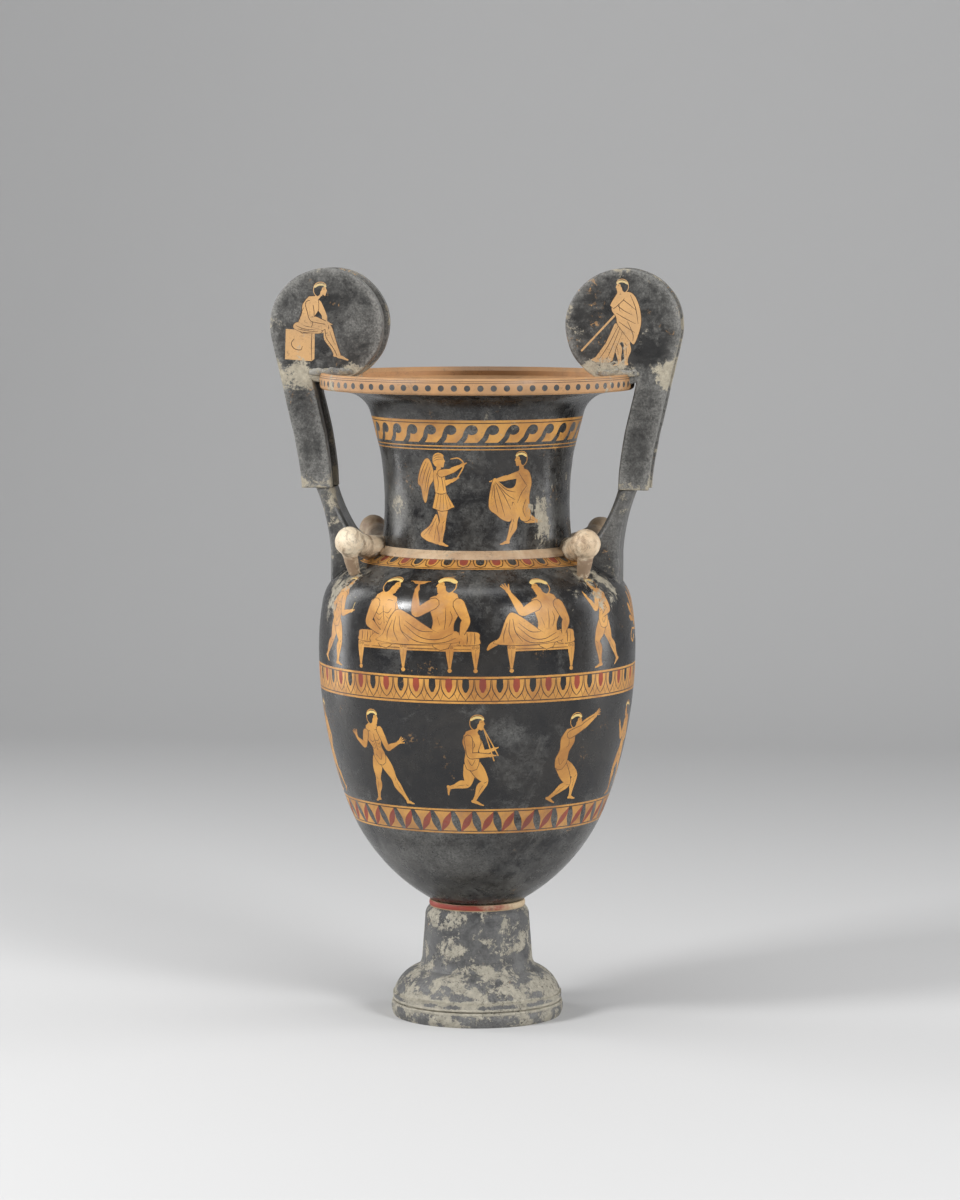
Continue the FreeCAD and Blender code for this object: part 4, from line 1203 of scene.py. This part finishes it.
def cloak_dancer(painting, x, ground, stature, side=1):
    """Hurries along with the cloak held out in one hand, the near foot off the ground."""
    f = Figure(painting, x, ground, stature, side)
    f.leg((-0.01, 0.46), (-0.05, 0.275), (-0.235, 0.245), (-0.29, 0.235), False)
    f.leg((0.03, 0.46), (0.085, 0.265), (0.170, 0.060), (0.255, 0.020))
    f.arm((0.04, 0.745), (0.170, 0.715), (0.300, 0.690), edge=False)
    cloak = [(0.045, 0.79), (-0.070, 0.785), (-0.125, 0.66), (-0.100, 0.50), (-0.115, 0.28), (0.00, 0.262),
             (0.045, 0.36), (0.11, 0.46), (0.125, 0.27), (0.215, 0.270), (0.300, 0.33), (0.385, 0.42),
             (0.335, 0.700), (0.265, 0.665), (0.175, 0.605), (0.085, 0.625)]
    folds = [[(0.31, 0.67), (0.21, 0.53), (0.13, 0.38)], [(0.315, 0.66), (0.26, 0.50), (0.20, 0.31)],
             [(0.325, 0.66), (0.315, 0.50), (0.28, 0.35)], [(0.28, 0.665), (0.18, 0.585), (0.07, 0.56)],
             [(-0.06, 0.62), (0.00, 0.55), (0.05, 0.45)], [(0.30, 0.66), (0.18, 0.54), (0.08, 0.48)],
             [(-0.06, 0.48), (-0.02, 0.38), (-0.05, 0.30)], [(0.04, 0.76), (-0.02, 0.68), (-0.07, 0.62)],
             [(0.33, 0.64), (0.355, 0.50)]]
    f.cloth(cloak, folds)
    f.head((0.005, 0.78), (0.035, 0.905), 1, "short")


neck_ground = neck_paint.up(408.5)
for bearing in (-17, 163):
    archer(neck_paint, neck_paint.at(bearing), neck_ground, 80)
    cloak_dancer(neck_paint, neck_paint.at(bearing + 52), neck_ground + 1, 80, -1)


NECK_PATCH = (-0.062, -0.049, 0.438)


def neck_crust(mix):
    """The right of the neck kept more earth and lime than the left, in streaks that ran down,
    and the left has one round patch of it."""
    spot = mix.split()
    right = mix.spread(spot[0], 0.032, 0.066, 0, 0.36)
    low = mix.spread(spot[2], 0.490, 0.470, 0.35, 1)
    runs = mix.spread(mix.noise(120, 5, 0.7, stretch=(1, 1, 0.12), shift=21), 0.40, 0.60, 0.25, 1.15)
    left = mix.times(near([NECK_PATCH], 0.019)(mix), 0.34)
    return mix.add(mix.times(mix.times(right, low), runs), left)


def neck_film(mix):
    """A grey round patch on the left, where something lay against the neck, and a dulled band."""
    patch = mix.times(near([NECK_PATCH], 0.022)(mix), 0.5)
    return mix.add(patch, mix.times(around(0.503, 0.016)(mix), 0.22))


neck_finishes = painted_set("neck", film=0.54, crust=0.14, gloss=0.25, more_film=neck_film,
                            more_crust=neck_crust, chips=0.4)
INSIDE = len(neck_finishes)
lip_low, lip_high = neck_low + LIP_LOW, neck_low + LIP_HIGH
neck_patches = [
    wrapped(neck_paint, neck_outside, 44),
    turned(np.array([(LIP_REACH, lip_low), (LIP_REACH, lip_high)]), INSIDE, 0),
    turned(neck_inside, INSIDE),
    turned(np.array([(MOUTH_IN, neck_low), (NECK_OUT, neck_low)]), INSIDE, 0),
]
neck_piece = shell("painted_neck", neck_patches, neck_finishes + [bare_inside])
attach(neck_piece, "root")
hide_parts("neck")

# Neck ring: a wedge of pale clay pressed into the corner of neck and shoulder and wiped smooth.
# It hides the joint and was left without slip.
pale_clay = fired("neck_ring_clay", (0.62, 0.47, 0.31, 1), (0.46, 0.31, 0.19, 1), film=0.35, crust=0.34,
                  gloss=0.5, matt=0.8, patch=50, relief=0.35, specks=0.5)
dressed("neck_ring", pale_clay)

# Rim: a full band of clay round the lip, left unslipped, with a row of dots under two thin
# dark lines. Its top slopes in to the lip and is rubbed brown.
rim_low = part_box("rim")[0].z / MM
DOTS = 77
RIM_REACH, BAND_LOW, BAND_HIGH = 133.2, 1.4, 12.2
rim_outside = drawn([(RIM_REACH, BAND_LOW, 22.0, "left"), (RIM_REACH, BAND_HIGH)], rim_low, 0.4)
rim_paint = sheet_on(rim_outside, RIM_REACH)
high = rim_paint.up(rim_low + BAND_HIGH)
rim_paint.band(high * 0.93, high * 0.97, LINE)
rim_paint.band(high * 0.78, high * 0.83, LINE)
pitch = rim_paint.width / DOTS
for count in range(DOTS):
    rim_paint.spot((pitch * (count + 0.5), high * 0.40), 2.6, SLIPPED)


def rim_crust(mix):
    """Lime gathers on the lip beside the handles."""
    spot = mix.split()
    return mix.spread(mix.reckon("ABSOLUTE", spot[0]), 0.085, 0.125, 0, 0.26)


rim_finishes = [
    fired("rim_dots", (0.035, 0.036, 0.038, 1), (0.07, 0.068, 0.065, 1), film=0.4, crust=0.2,
          gloss=0.4, relief=0.2, more_crust=rim_crust),
    fired("rim_clay", (0.47, 0.255, 0.11, 1), (0.37, 0.21, 0.10, 1), film=0.32, crust=0.22,
          gloss=0.5, relief=0.35, film_share=0.5, more_crust=rim_crust, specks=0.4),
    fired("rim_red", RED_PAINT, RED_PAINT, film=0.3, crust=0.1),
    fired("rim_line", (0.06, 0.035, 0.022, 1), (0.12, 0.07, 0.04, 1), film=0.3, crust=0.2,
          gloss=0.45, relief=0.2),
]
under = [(LIP_REACH, 0), (131.8, 0), (RIM_REACH, BAND_LOW)]
over = [(RIM_REACH, BAND_HIGH), (132.4, 13.5), (129.4, 13.5), (LIP_REACH, 10.1), (LIP_REACH, 0)]
rim_patches = [turned(drawn(side, rim_low, 6), CLAY, 0) for side in zip(under, under[1:])]
rim_patches.append(wrapped(rim_paint, rim_outside, 8, CLAY))
rim_patches += [turned(drawn(side, rim_low, 6), CLAY, 0) for side in zip(over, over[1:])]
rim_piece = shell("dotted_rim", rim_patches, rim_finishes)
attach(rim_piece, "root")
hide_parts("rim")

# Volutes: flat plates cut by hand like the letter P, two to a handle, slipped black with one
# reserved figure on the disc. They are luted to the rim; the slip is rubbed pale along the edges.
DISC_RADIUS, DISC_REACH, DISC_LEVEL = 48.7, 126.0, 591.1
PLATE_FACE, PLATE_THICKNESS, PLATE_ROUND = 23.5, 10.0, 1.6
BEND_LEVEL, BEND_IN, BEND_OUT = 501.5, 127.3, 155.3
FOOT_LEVEL, FOOT_IN, FOOT_OUT = 453.0, 121.8, 147.8
PANEL_CURVE = 360.0


def unit(ways):
    """Arrows of any length, all brought to length 1."""
    return ways / np.maximum(np.hypot(ways[:, 0], ways[:, 1]), 1e-9)[:, None]


def plate_outline(hand):
    """The P shape seen from the plate's face, anticlockwise; hand 1 has its panel on the right."""
    lean = math.radians(13)
    turn = np.linspace(-math.pi / 2 + lean, -math.tau - lean, 190)
    disc = np.stack([DISC_REACH + DISC_RADIUS * np.cos(turn), DISC_LEVEL + DISC_RADIUS * np.sin(turn)], 1)
    stations = [
        tuple(disc[-1]),
        (BEND_OUT, BEND_LEVEL, PANEL_CURVE, "left"),
        (FOOT_OUT, FOOT_LEVEL),
        (FOOT_IN, FOOT_LEVEL, PANEL_CURVE, "right"),
        (BEND_IN, BEND_LEVEL),
        tuple(disc[0]),
    ]
    points = np.vstack([disc, drawn(stations, 0, 1.6)[1:-1]])
    points = points[::-1] if hand > 0 else points * (-1, 1)
    shaky = np.array([0.28 + 0.5 * noise.noise((x / 17, z / 17, hand * 3.7)) for x, z in points])
    return drawn_in(points, np.clip(shaky, 0.0, 0.7))


def drawn_in(points, amount):
    """An anticlockwise outline moved inwards, square to its edges."""
    before = unit(points - np.roll(points, 1, 0))
    after = unit(np.roll(points, -1, 0) - points)
    first = np.stack([-before[:, 1], before[:, 0]], 1)
    second = np.stack([-after[:, 1], after[:, 0]], 1)
    square = 1 + (first * second).sum(1)
    return points + (first + second) / square[:, None] * np.reshape(amount, (-1, 1))


def flat_face(painting, border, depth, seen):
    """The flat face of a plate, cut along the paint; seen -1 is the side that faces the strap."""
    low, high = border.min(0), border.max(0)
    columns = np.arange(low[0] + 1.7, high[0], 4.0)
    rows = list(np.arange(low[1] + 1.9, high[1], 4.0))
    flat, triangles, colours = coloured(painting, columns, rows, SLIPPED, border)
    flat = np.round(flat, 3)
    spots = np.stack([flat[:, 0], np.full(len(flat), -PLATE_FACE + depth), flat[:, 1]], 1)
    if seen < 0:
        triangles = triangles[:, ::-1]
    normals = np.tile((0.0, -float(seen), 0.0), (len(flat), 1))
    return spots * MM, normals, triangles.tolist(), colours.tolist()


def plate_piece(name, hand, behind, draw):
    """One volute plate with the picture that draw puts on its face."""
    painting = Painting()
    draw(painting)
    outline = np.round(plate_outline(hand), 3)
    ways = -unit(drawn_in(outline, 1.0) - outline)
    face_edge = np.round(drawn_in(outline, PLATE_ROUND), 3)
    rings = []
    for k in range(6):
        turn = math.pi / 2 * k / 5
        inset = PLATE_ROUND * (1 - math.sin(turn))
        edge = face_edge if k == 0 else drawn_in(outline, inset)
        rings.append((edge, PLATE_ROUND * (1 - math.cos(turn)), turn))
    rings += [(outline, depth, math.pi / 2) for depth in (4.0, 7.0, PLATE_THICKNESS)]
    count = len(outline)
    spots, normals, faces = [], [], []
    for edge, depth, turn in rings:
        for (x, z), (way_x, way_z) in zip(edge, ways):
            spots.append((x, -PLATE_FACE + depth, z))
            normals.append((way_x * math.sin(turn), -math.cos(turn), way_z * math.sin(turn)))
    for row in range(len(rings) - 1):
        for i in range(count):
            a, b = row * count + i, row * count + (i + 1) % count
            faces.append((a, a + count, b + count, b))
    sides = (np.array(spots) * MM, np.array(normals), faces, [SLIPPED] * len(faces))
    patches = [flat_face(painting, face_edge, 0, 1), sides,
               flat_face(Painting(), outline, PLATE_THICKNESS, -1)]
    if behind:
        patches = [(p[0] * (-1, -1, 1), p[1] * (-1, -1, 1), p[2], p[3]) for p in patches]
    piece = shell(name, patches, plate_finishes)
    edge_x = -outline[:, 0] if behind else outline[:, 0]
    border = np.stack([edge_x, outline[:, 1]], 1)
    places = np.empty(len(piece.data.vertices) * 3)
    piece.data.vertices.foreach_get("co", places)
    places = places.reshape(-1, 3)[:, [0, 2]] / MM
    off = np.array([np.hypot(*(border - place).T).min() for place in places])
    wear = piece.data.attributes.new("wear", "FLOAT", "POINT")
    wear.data.foreach_set("value", np.exp(-off / 3.5))
    return piece


def worn_edge(mix):
    """How far a plate is rubbed: all along its edge, fading to nothing inside."""
    return mix.node("ShaderNodeAttribute", attribute_name="wear").outputs["Fac"]


def plate_crust(mix):
    """Crust gathers at the foot of the panel, where the disc meets the rim, and at the edge;
    the right disc kept more of it than the left."""
    foot = mix.spread(mix.level(), 0.476, 0.458, 0, 0.42)
    rim = around(0.551, 0.016)(mix)
    edge = mix.times(worn_edge(mix), 0.20)
    spot = mix.split()
    right = mix.times(mix.spread(spot[0], -0.01, 0.01, 0, 0.13), mix.spread(spot[2], 0.54, 0.56))
    both = mix.add(mix.add(foot, edge), mix.times(rim, 0.42))
    return mix.add(both, right)


def plate_film(mix):
    """The rubbed edge is the greyest part."""
    return mix.times(worn_edge(mix), 0.8)


plate_look = dict(crust=0.20, relief=0.4, more_crust=plate_crust, specks=0.65)
plate_finishes = [
    fired("plate_slip", (0.020, 0.020, 0.020, 1), (0.045, 0.044, 0.042, 1), film=0.54, chips=0.7,
          gloss=0.30, matt=0.66, film_colour=(0.30, 0.295, 0.275, 1), more_film=plate_film, **plate_look),
    fired("plate_reserved_clay", (0.56, 0.33, 0.14, 1), (0.46, 0.28, 0.13, 1), film=0.32, gloss=0.5,
          film_share=0.4, **plate_look),
    fired("plate_red", RED_PAINT, RED_PAINT, film=0.3),
    fired("plate_relief_line", (0.04, 0.024, 0.016, 1), (0.07, 0.04, 0.025, 1), film=0.2, **plate_look),
    fired("plate_cream_paint", (0.60, 0.45, 0.22, 1), (0.52, 0.40, 0.2, 1), film=0.2, gloss=0.5,
          **plate_look),
]


def seated_man(painting):
    """A bearded man in profile on a block, leaning forward with his hands on his knee."""
    f = Figure(painting, -134.5, 558.5, 79)
    block = [(-0.34, 0.05), (-0.05, 0.03), (-0.02, 0.055), (-0.015, 0.345), (-0.045, 0.36), (-0.33, 0.375)]
    painting.area(np.array(f.spots(block)), CLAY)
    f.mark([(-0.045, 0.355), (-0.052, 0.20), (-0.05, 0.035)], 0.3)
    f.mark([(-0.24, 0.27), (-0.27, 0.22), (-0.24, 0.165), (-0.17, 0.15), (-0.15, 0.19)], 0.32)
    hip, chest = (-0.125, 0.415), (-0.045, 0.655)
    f.arm((0.02, 0.650), (0.085, 0.530), (0.105, 0.430), (0.12, 0.40), edge=False)
    f.leg((-0.09, 0.405), (0.105, 0.360), (0.205, 0.115), (0.30, 0.070), False)
    f.leg((-0.115, 0.400), (0.120, 0.405), (0.245, 0.100), (0.345, 0.045))
    f.trunk(hip, chest, 0.040, 0.056)
    f.mark([(-0.135, 0.60), (-0.175, 0.52), (-0.175, 0.47)])
    f.mark([(-0.045, 0.60), (-0.045, 0.53), (-0.070, 0.47)])
    cloak = [(-0.235, 0.430), (-0.245, 0.385), (-0.16, 0.345), (-0.05, 0.335), (0.04, 0.330), (0.06, 0.360),
             (-0.02, 0.385), (-0.12, 0.405), (-0.19, 0.445)]
    f.cloth(cloak, [[(-0.22, 0.41), (-0.13, 0.375), (-0.01, 0.365)],
                    [(-0.20, 0.375), (-0.10, 0.355), (0.02, 0.345)]])
    f.arm((-0.075, 0.640), (-0.045, 0.490), (0.095, 0.445), (0.15, 0.43))
    f.head(chest, (0.055, 0.790))
    beard = [(0.072, 0.745), (0.090, 0.732), (0.112, 0.727), (0.114, 0.700), (0.090, 0.680), (0.068, 0.708)]
    painting.area(smoothed(np.array(f.spots(beard))), SLIPPED)


def leaning_man(painting):
    """A man wrapped in a cloak leans on his staff, one end of the cloak hanging down before him."""
    f = Figure(painting, 128, 557.0, 73, -1)
    f.leg((-0.01, 0.40), (-0.02, 0.27), (-0.01, 0.055), (0.075, 0.015), False)
    f.leg((0.03, 0.40), (0.10, 0.28), (0.06, 0.060), (0.13, 0.020), False)
    hanging = [(0.02, 0.52), (0.12, 0.50), (0.22, 0.28), (0.34, 0.115), (0.40, 0.085), (0.33, 0.055),
               (0.20, 0.050), (0.145, 0.075), (0.10, 0.24), (0.04, 0.38)]
    f.cloth(hanging, [[(0.08, 0.47), (0.20, 0.24), (0.30, 0.09)],
                      [(0.06, 0.45), (0.14, 0.25), (0.22, 0.07)]], round_it=False)
    painting.stroke(f.spots([(0.06, 0.66), (0.50, 0.19)]), [0.8, 0.8], CLAY)
    cloak = [(0.09, 0.835), (0.00, 0.865), (-0.09, 0.840), (-0.155, 0.72), (-0.185, 0.55), (-0.165, 0.42),
             (-0.11, 0.275), (-0.07, 0.285), (0.02, 0.40), (0.09, 0.50), (0.105, 0.58), (0.155, 0.66),
             (0.135, 0.76)]
    folds = [[(0.08, 0.82), (-0.01, 0.75), (-0.12, 0.66)], [(0.12, 0.74), (0.03, 0.66), (-0.08, 0.60)],
             [(0.10, 0.62), (0.00, 0.56), (-0.12, 0.50)], [(-0.06, 0.83), (-0.12, 0.68), (-0.15, 0.50)],
             [(0.07, 0.52), (-0.03, 0.45), (-0.11, 0.40)], [(-0.03, 0.52), (-0.09, 0.38), (-0.09, 0.30)],
             [(0.03, 0.84), (0.07, 0.74), (0.06, 0.64)]]
    f.cloth(cloak, folds)
    f.arm((0.05, 0.80), (0.145, 0.70), (0.085, 0.83), (0.07, 0.86))
    f.head((0.01, 0.82), (0.045, 0.925))


def disc_palmette(hand):
    def draw(painting):
        palmette(painting, hand * DISC_REACH, DISC_LEVEL - 9, 34)
    return draw


for side, hand, picture in (("left", -1, seated_man), ("right", 1, leaning_man)):
    front = plate_piece(f"{side}_front_plate", hand, False, picture)
    back = plate_piece(f"{side}_back_plate", -hand, True, disc_palmette(-hand))
    for piece, end in ((front, "front"), (back, "back")):
        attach(piece, "root")
        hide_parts(f"{side}_{end}_volute")

# Straps: the band of clay between the two plates of a handle, set back a little from their
# edges, slipped like them.
strap_slip = fired("strap_slip", (0.022, 0.022, 0.023, 1), (0.045, 0.044, 0.042, 1), film=0.48, crust=0.24,
                   gloss=0.36, matt=0.75, relief=0.35, specks=0.4)
for side in ("left", "right"):
    dressed(f"{side}_handle_strap", strap_slip)


# Roots: thick bars of clay that carry the handles and spread at the toe into the shoulder,
# smoothed by thumb while wet.
def root_crust(mix):
    """Lime clings to the top of the root, under the panel."""
    return mix.spread(mix.level(), 0.428, 0.450, 0, 0.24)


root_slip = fired("root_slip", (0.026, 0.026, 0.026, 1), (0.06, 0.058, 0.055, 1), film=0.68, crust=0.30,
                  chips=1.0, gloss=0.30, matt=0.62, patch=40, relief=0.45, more_crust=root_crust, specks=0.7,
                  film_colour=(0.26, 0.255, 0.24, 1))
for side in ("left", "right"):
    dressed(f"{side}_handle_root", root_slip)

# Bird heads: ducks modelled by hand on thick necks that grow out of the neck ring. Each bows
# over the shoulder with its bill pressed down. Coated with pale clay, stained brown.
def roll(spine, sizes, sides=22):
    """A closed roll of clay round a spine in the x-z plane; each size is its half width and
    half thickness there."""
    spine = np.array(spine, float)
    along = unit(np.gradient(spine, axis=0)[:, [0, 2]])
    points = []
    for spot, (way_x, way_z), (wide, thick) in zip(spine, along, sizes):
        for k in range(sides):
            turn = math.tau * k / sides
            lift = thick * math.sin(turn)
            points.append((spot[0] - way_z * lift, spot[1] + wide * math.cos(turn),
                           spot[2] + way_x * lift))
    faces = []
    for row in range(len(spine) - 1):
        for k in range(sides):
            a, b = row * sides + k, row * sides + (k + 1) % sides
            faces.append((a, b, b + sides, a + sides))
    last = (len(spine) - 1) * sides
    faces += [tuple(range(sides))[::-1], tuple(range(last, last + sides))]
    return points, faces


def modelled(name, rolls, place, grain, waves, finish):
    """Rolls of clay worked into one lump: joined, smoothed and left a little uneven."""
    points, faces = [], []
    for roll_points, roll_faces in rolls:
        faces += [tuple(i + len(points) for i in face) for face in roll_faces]
        points += roll_points
    mesh = bpy.data.meshes.new(name)
    mesh.from_pydata([tuple(c * MM for c in point) for point in points], [], faces)
    piece = bpy.data.objects.new(name, mesh)
    bpy.context.scene.collection.objects.link(piece)
    joined = piece.modifiers.new("joined", "REMESH")
    joined.mode = "VOXEL"
    joined.voxel_size = grain * MM
    wiped = piece.modifiers.new("wiped", "SMOOTH")
    wiped.factor = 0.5
    wiped.iterations = 7
    seen = piece.evaluated_get(bpy.context.evaluated_depsgraph_get())
    lump = bpy.data.meshes.new_from_object(seen)
    piece.modifiers.clear()
    piece.data = lump
    lump.name = name
    lump.transform(place)
    ways = [vertex.normal.copy() for vertex in lump.vertices]
    spots = [vertex.co.copy() for vertex in lump.vertices]
    dents = [noise.fractal(spot * 90, 1.0, 2.0, 3) - 0.35 for spot in spots]
    moved = [spot + way * dent * waves * MM for spot, way, dent in zip(spots, ways, dents)]
    lump.vertices.foreach_set("co", np.array(moved).ravel())
    lump.polygons.foreach_set("use_smooth", [True] * len(lump.polygons))
    lump.materials.clear()
    lump.materials.append(finish)
    return piece


BIRD_REACH, BIRD_RISE = 54.5, 12.6
BIRD_BEARING, BIRD_HEADING = 12, 69.3
BALL_LONG, BALL_WIDE, BALL_TALL = 13.6, 12.6, 12.8


def duck():
    """Throat, ball of the head and flat bill, heading along x from the neck ring."""
    x, z = BIRD_REACH, BIRD_RISE
    throat = roll([(-5, 0, 0.5), (10, 0, 3.2), (24, 0, 6.2), (38, 0, 9.4), (x, 0, z)],
                  [(13.4, 12.8), (12.6, 12.0), (11.0, 10.4), (9.8, 9.4), (9.0, 9.0)])
    turns = np.linspace(0.12, math.pi - 0.12, 15)
    head = roll([(x - BALL_LONG * math.cos(t), 0, z) for t in turns],
                [(BALL_WIDE * math.sin(t), BALL_TALL * math.sin(t)) for t in turns])
    bill = roll([(x + 3.0, 0, z + 2), (x + 2.0, 0, z - 6), (x - 1.6, 0, z - 14), (x - 5.2, 0, z - 21),
                 (x - 8.4, 0, z - 27.5), (x - 10.6, 0, z - 31)],
                [(9.2, 6.4), (8.6, 5.8), (6.6, 4.6), (6.4, 3.8), (5.9, 3.2), (3.8, 2.0)])
    return [throat, head, bill]


def bird_stain(mix):
    """Brown earth in the hollows, down the bill and toward the neck."""
    stain = mix.noise(75, 7, 0.72, 0.7, shift=15)
    lower = mix.spread(mix.level(), 0.404, 0.390, 0, 0.13)
    return mix.spread(mix.add(stain, lower), 0.49, 0.63, 0, 0.85), (0.21, 0.13, 0.075, 1)


bird_looks = {
    "front": fired("front_bird_slip", (0.80, 0.69, 0.52, 1), (0.62, 0.47, 0.31, 1), film=0.18, crust=0.30,
                   gloss=0.5, matt=0.8, patch=60, relief=0.5, tint=bird_stain, specks=0.35,
                   crust_colour=(0.78, 0.70, 0.56, 1)),
    "back": fired("back_bird_slip", (0.33, 0.25, 0.165, 1), (0.22, 0.16, 0.105, 1), film=0.35, crust=0.30,
                  gloss=0.5, matt=0.8, patch=60, relief=0.5, tint=bird_stain, specks=0.5),
}
for side, along in (("left", -1), ("right", 1)):
    for end, across in (("front", -1), ("back", 1)):
        bearing = math.radians(BIRD_BEARING)
        heading = across * math.radians(BIRD_HEADING)
        if along < 0:
            heading = math.pi - heading
        x, y = along * NECK_OUT * math.cos(bearing), across * NECK_OUT * math.sin(bearing)
        spot = Vector((x, y, neck_low)) * MM
        place = Matrix.Translation(spot) @ Matrix.Rotation(heading, 4, "Z")
        bird = modelled(f"{side}_{end}_duck", duck(), place, 0.9, 0.45, bird_looks[end])
        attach(bird, "root")
        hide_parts(f"{side}_{end}_bird_head")

# Luting: wet clay pushed with the thumb into the corner of disc and rim to hold the plate, and
# left lumpy.
luting = fired("luting_clay", (0.30, 0.285, 0.25, 1), (0.15, 0.145, 0.135, 1), film=0.5, crust=0.56,
               gloss=0.7, matt=0.9, patch=90, relief=0.9, specks=0.9)


SMEAR_START, SMEAR_LONG, SMEAR_LEVEL = 103.5, 37, 551.6


def lumps(seed):
    """A ragged ridge of thumbed clay along the rim, in x, with knobs on it."""
    spine, sizes = [], []
    for k in range(12):
        share = k / 11
        swell = math.sin(math.pi * (0.06 + 0.88 * share)) ** 0.6
        wobble = 0.75 + 0.5 * noise.noise((k * 0.83, seed, 0))
        rise = 0.8 * noise.noise((k * 0.7, seed, 5))
        spine.append((SMEAR_START + SMEAR_LONG * share, -PLATE_FACE - 0.2, SMEAR_LEVEL + rise))
        sizes.append((3.2 * swell * wobble + 0.4, 4.1 * swell * wobble + 0.5))
    made = [roll(spine, sizes, 14)]
    for k in range(7):
        x = 107 + 29 * (k / 6) + 3 * noise.noise((k * 1.7, seed, 9))
        size = 2.3 + 1.4 * noise.noise((k * 2.3, seed, 2))
        z = 553.0 + 2.2 * noise.noise((k * 1.1, seed, 7))
        knob = [(x - size, z - 0.6), (x - size * 0.5, z), (x + size * 0.5, z + 0.4), (x + size, z)]
        thick = [(size * 0.5, size * 0.5), (size, size), (size, size * 0.9), (size * 0.4, size * 0.4)]
        made.append(roll([(px, -PLATE_FACE - 1.0, pz) for px, pz in knob], thick, 12))
    return made


for side, along in (("left", -1), ("right", 1)):
    for end, across in (("front", 1), ("back", -1)):
        place = Matrix.Diagonal((along, across, 1, 1))
        smear = modelled(f"{side}_{end}_smear", lumps(along * 3 + across), place, 0.7, 0.5, luting)
        if along * across < 0:
            smear.data.flip_normals()
        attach(smear, "root")
        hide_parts(f"{side}_{end}_rim_luting")

# Stage: a sheet of pale paper that curves up behind the pot, two soft lamps in front, one above
# and a strip at each side, and the camera at the photo's angle.
CAMERA_BEARING, CAMERA_PITCH = 7.0, 5.44
CAMERA_REACH, CAMERA_HEIGHT, CAMERA_ASIDE = 3.564, 0.6963, 0.0024
LENS = 125.8


def sweep_floor():
    """A sheet of paper: flat under the pot and curved up far behind it."""
    half, front, back, top, curve = 4.0, -4.5, 3.0, 4.0, 1.2
    line = [(front, 0.0), (back - curve, 0.0)]
    for turn in np.linspace(0.1, math.pi / 2, 14):
        line.append((back - curve + curve * math.sin(turn), curve - curve * math.cos(turn)))
    line.append((back, top))
    points = [(x, y, z) for y, z in line for x in (-half, half)]
    faces = [(2 * k, 2 * k + 1, 2 * k + 3, 2 * k + 2) for k in range(len(line) - 1)]
    mesh = bpy.data.meshes.new("floor")
    mesh.from_pydata(points, [], faces)
    mesh.polygons.foreach_set("use_smooth", [True] * len(faces))
    floor = bpy.data.objects.new("floor", mesh)
    bpy.context.scene.collection.objects.link(floor)
    return floor


floor = sweep_floor()
paper = bpy.data.materials.new("floor_paper")
paper.use_nodes = True
paper_shader = paper.node_tree.nodes["Principled BSDF"]
paper_shader.inputs["Base Color"].default_value = (0.60, 0.60, 0.60, 1)
paper_shader.inputs["Roughness"].default_value = 0.9
floor.data.materials.append(paper)


def lamp(name, spot, target, size, power):
    """A soft oblong lamp that faces its target."""
    light = bpy.data.lights.new(name, "AREA")
    light.shape = "RECTANGLE"
    light.size, light.size_y = size
    light.energy = power
    holder = bpy.data.objects.new(name, light)
    holder.location = spot
    holder.rotation_euler = (Vector(target) - Vector(spot)).to_track_quat("-Z", "Y").to_euler()
    bpy.context.scene.collection.objects.link(holder)


pot_middle = (0, 0, 0.36)
lamp("left_softbox", (-1.65, -1.30, 1.45), pot_middle, (0.6, 0.6), 42)
lamp("right_softbox", (1.75, -1.75, 1.35), pot_middle, (0.7, 0.7), 42)
lamp("top_softbox", (0.0, -0.3, 2.6), pot_middle, (1.2, 1.2), 18)
lamp("left_strip", (-1.7, 0.55, 0.7), pot_middle, (0.5, 1.5), 12)
lamp("right_strip", (1.9, 0.55, 0.7), pot_middle, (0.5, 1.5), 12)

world = bpy.data.worlds.new("studio")
world.use_nodes = True
sky = world.node_tree.nodes["Background"]
sky.inputs["Color"].default_value = (0.75, 0.76, 0.78, 1)
sky.inputs["Strength"].default_value = 0.24
bpy.context.scene.world = world

camera_data = bpy.data.cameras.new("camera")
camera_data.lens = LENS
camera_data.sensor_width = 36
camera = bpy.data.objects.new("camera", camera_data)
bearing = math.radians(CAMERA_BEARING)
back_off = np.array([math.sin(bearing), -math.cos(bearing)]) * CAMERA_REACH
aside = np.array([math.cos(bearing), math.sin(bearing)]) * CAMERA_ASIDE
camera.location = (*(back_off + aside), CAMERA_HEIGHT)
camera.rotation_euler = (math.radians(90 - CAMERA_PITCH), 0, bearing)
bpy.context.scene.collection.objects.link(camera)
bpy.context.scene.camera = camera
bpy.context.scene.view_settings.view_transform = "Standard"
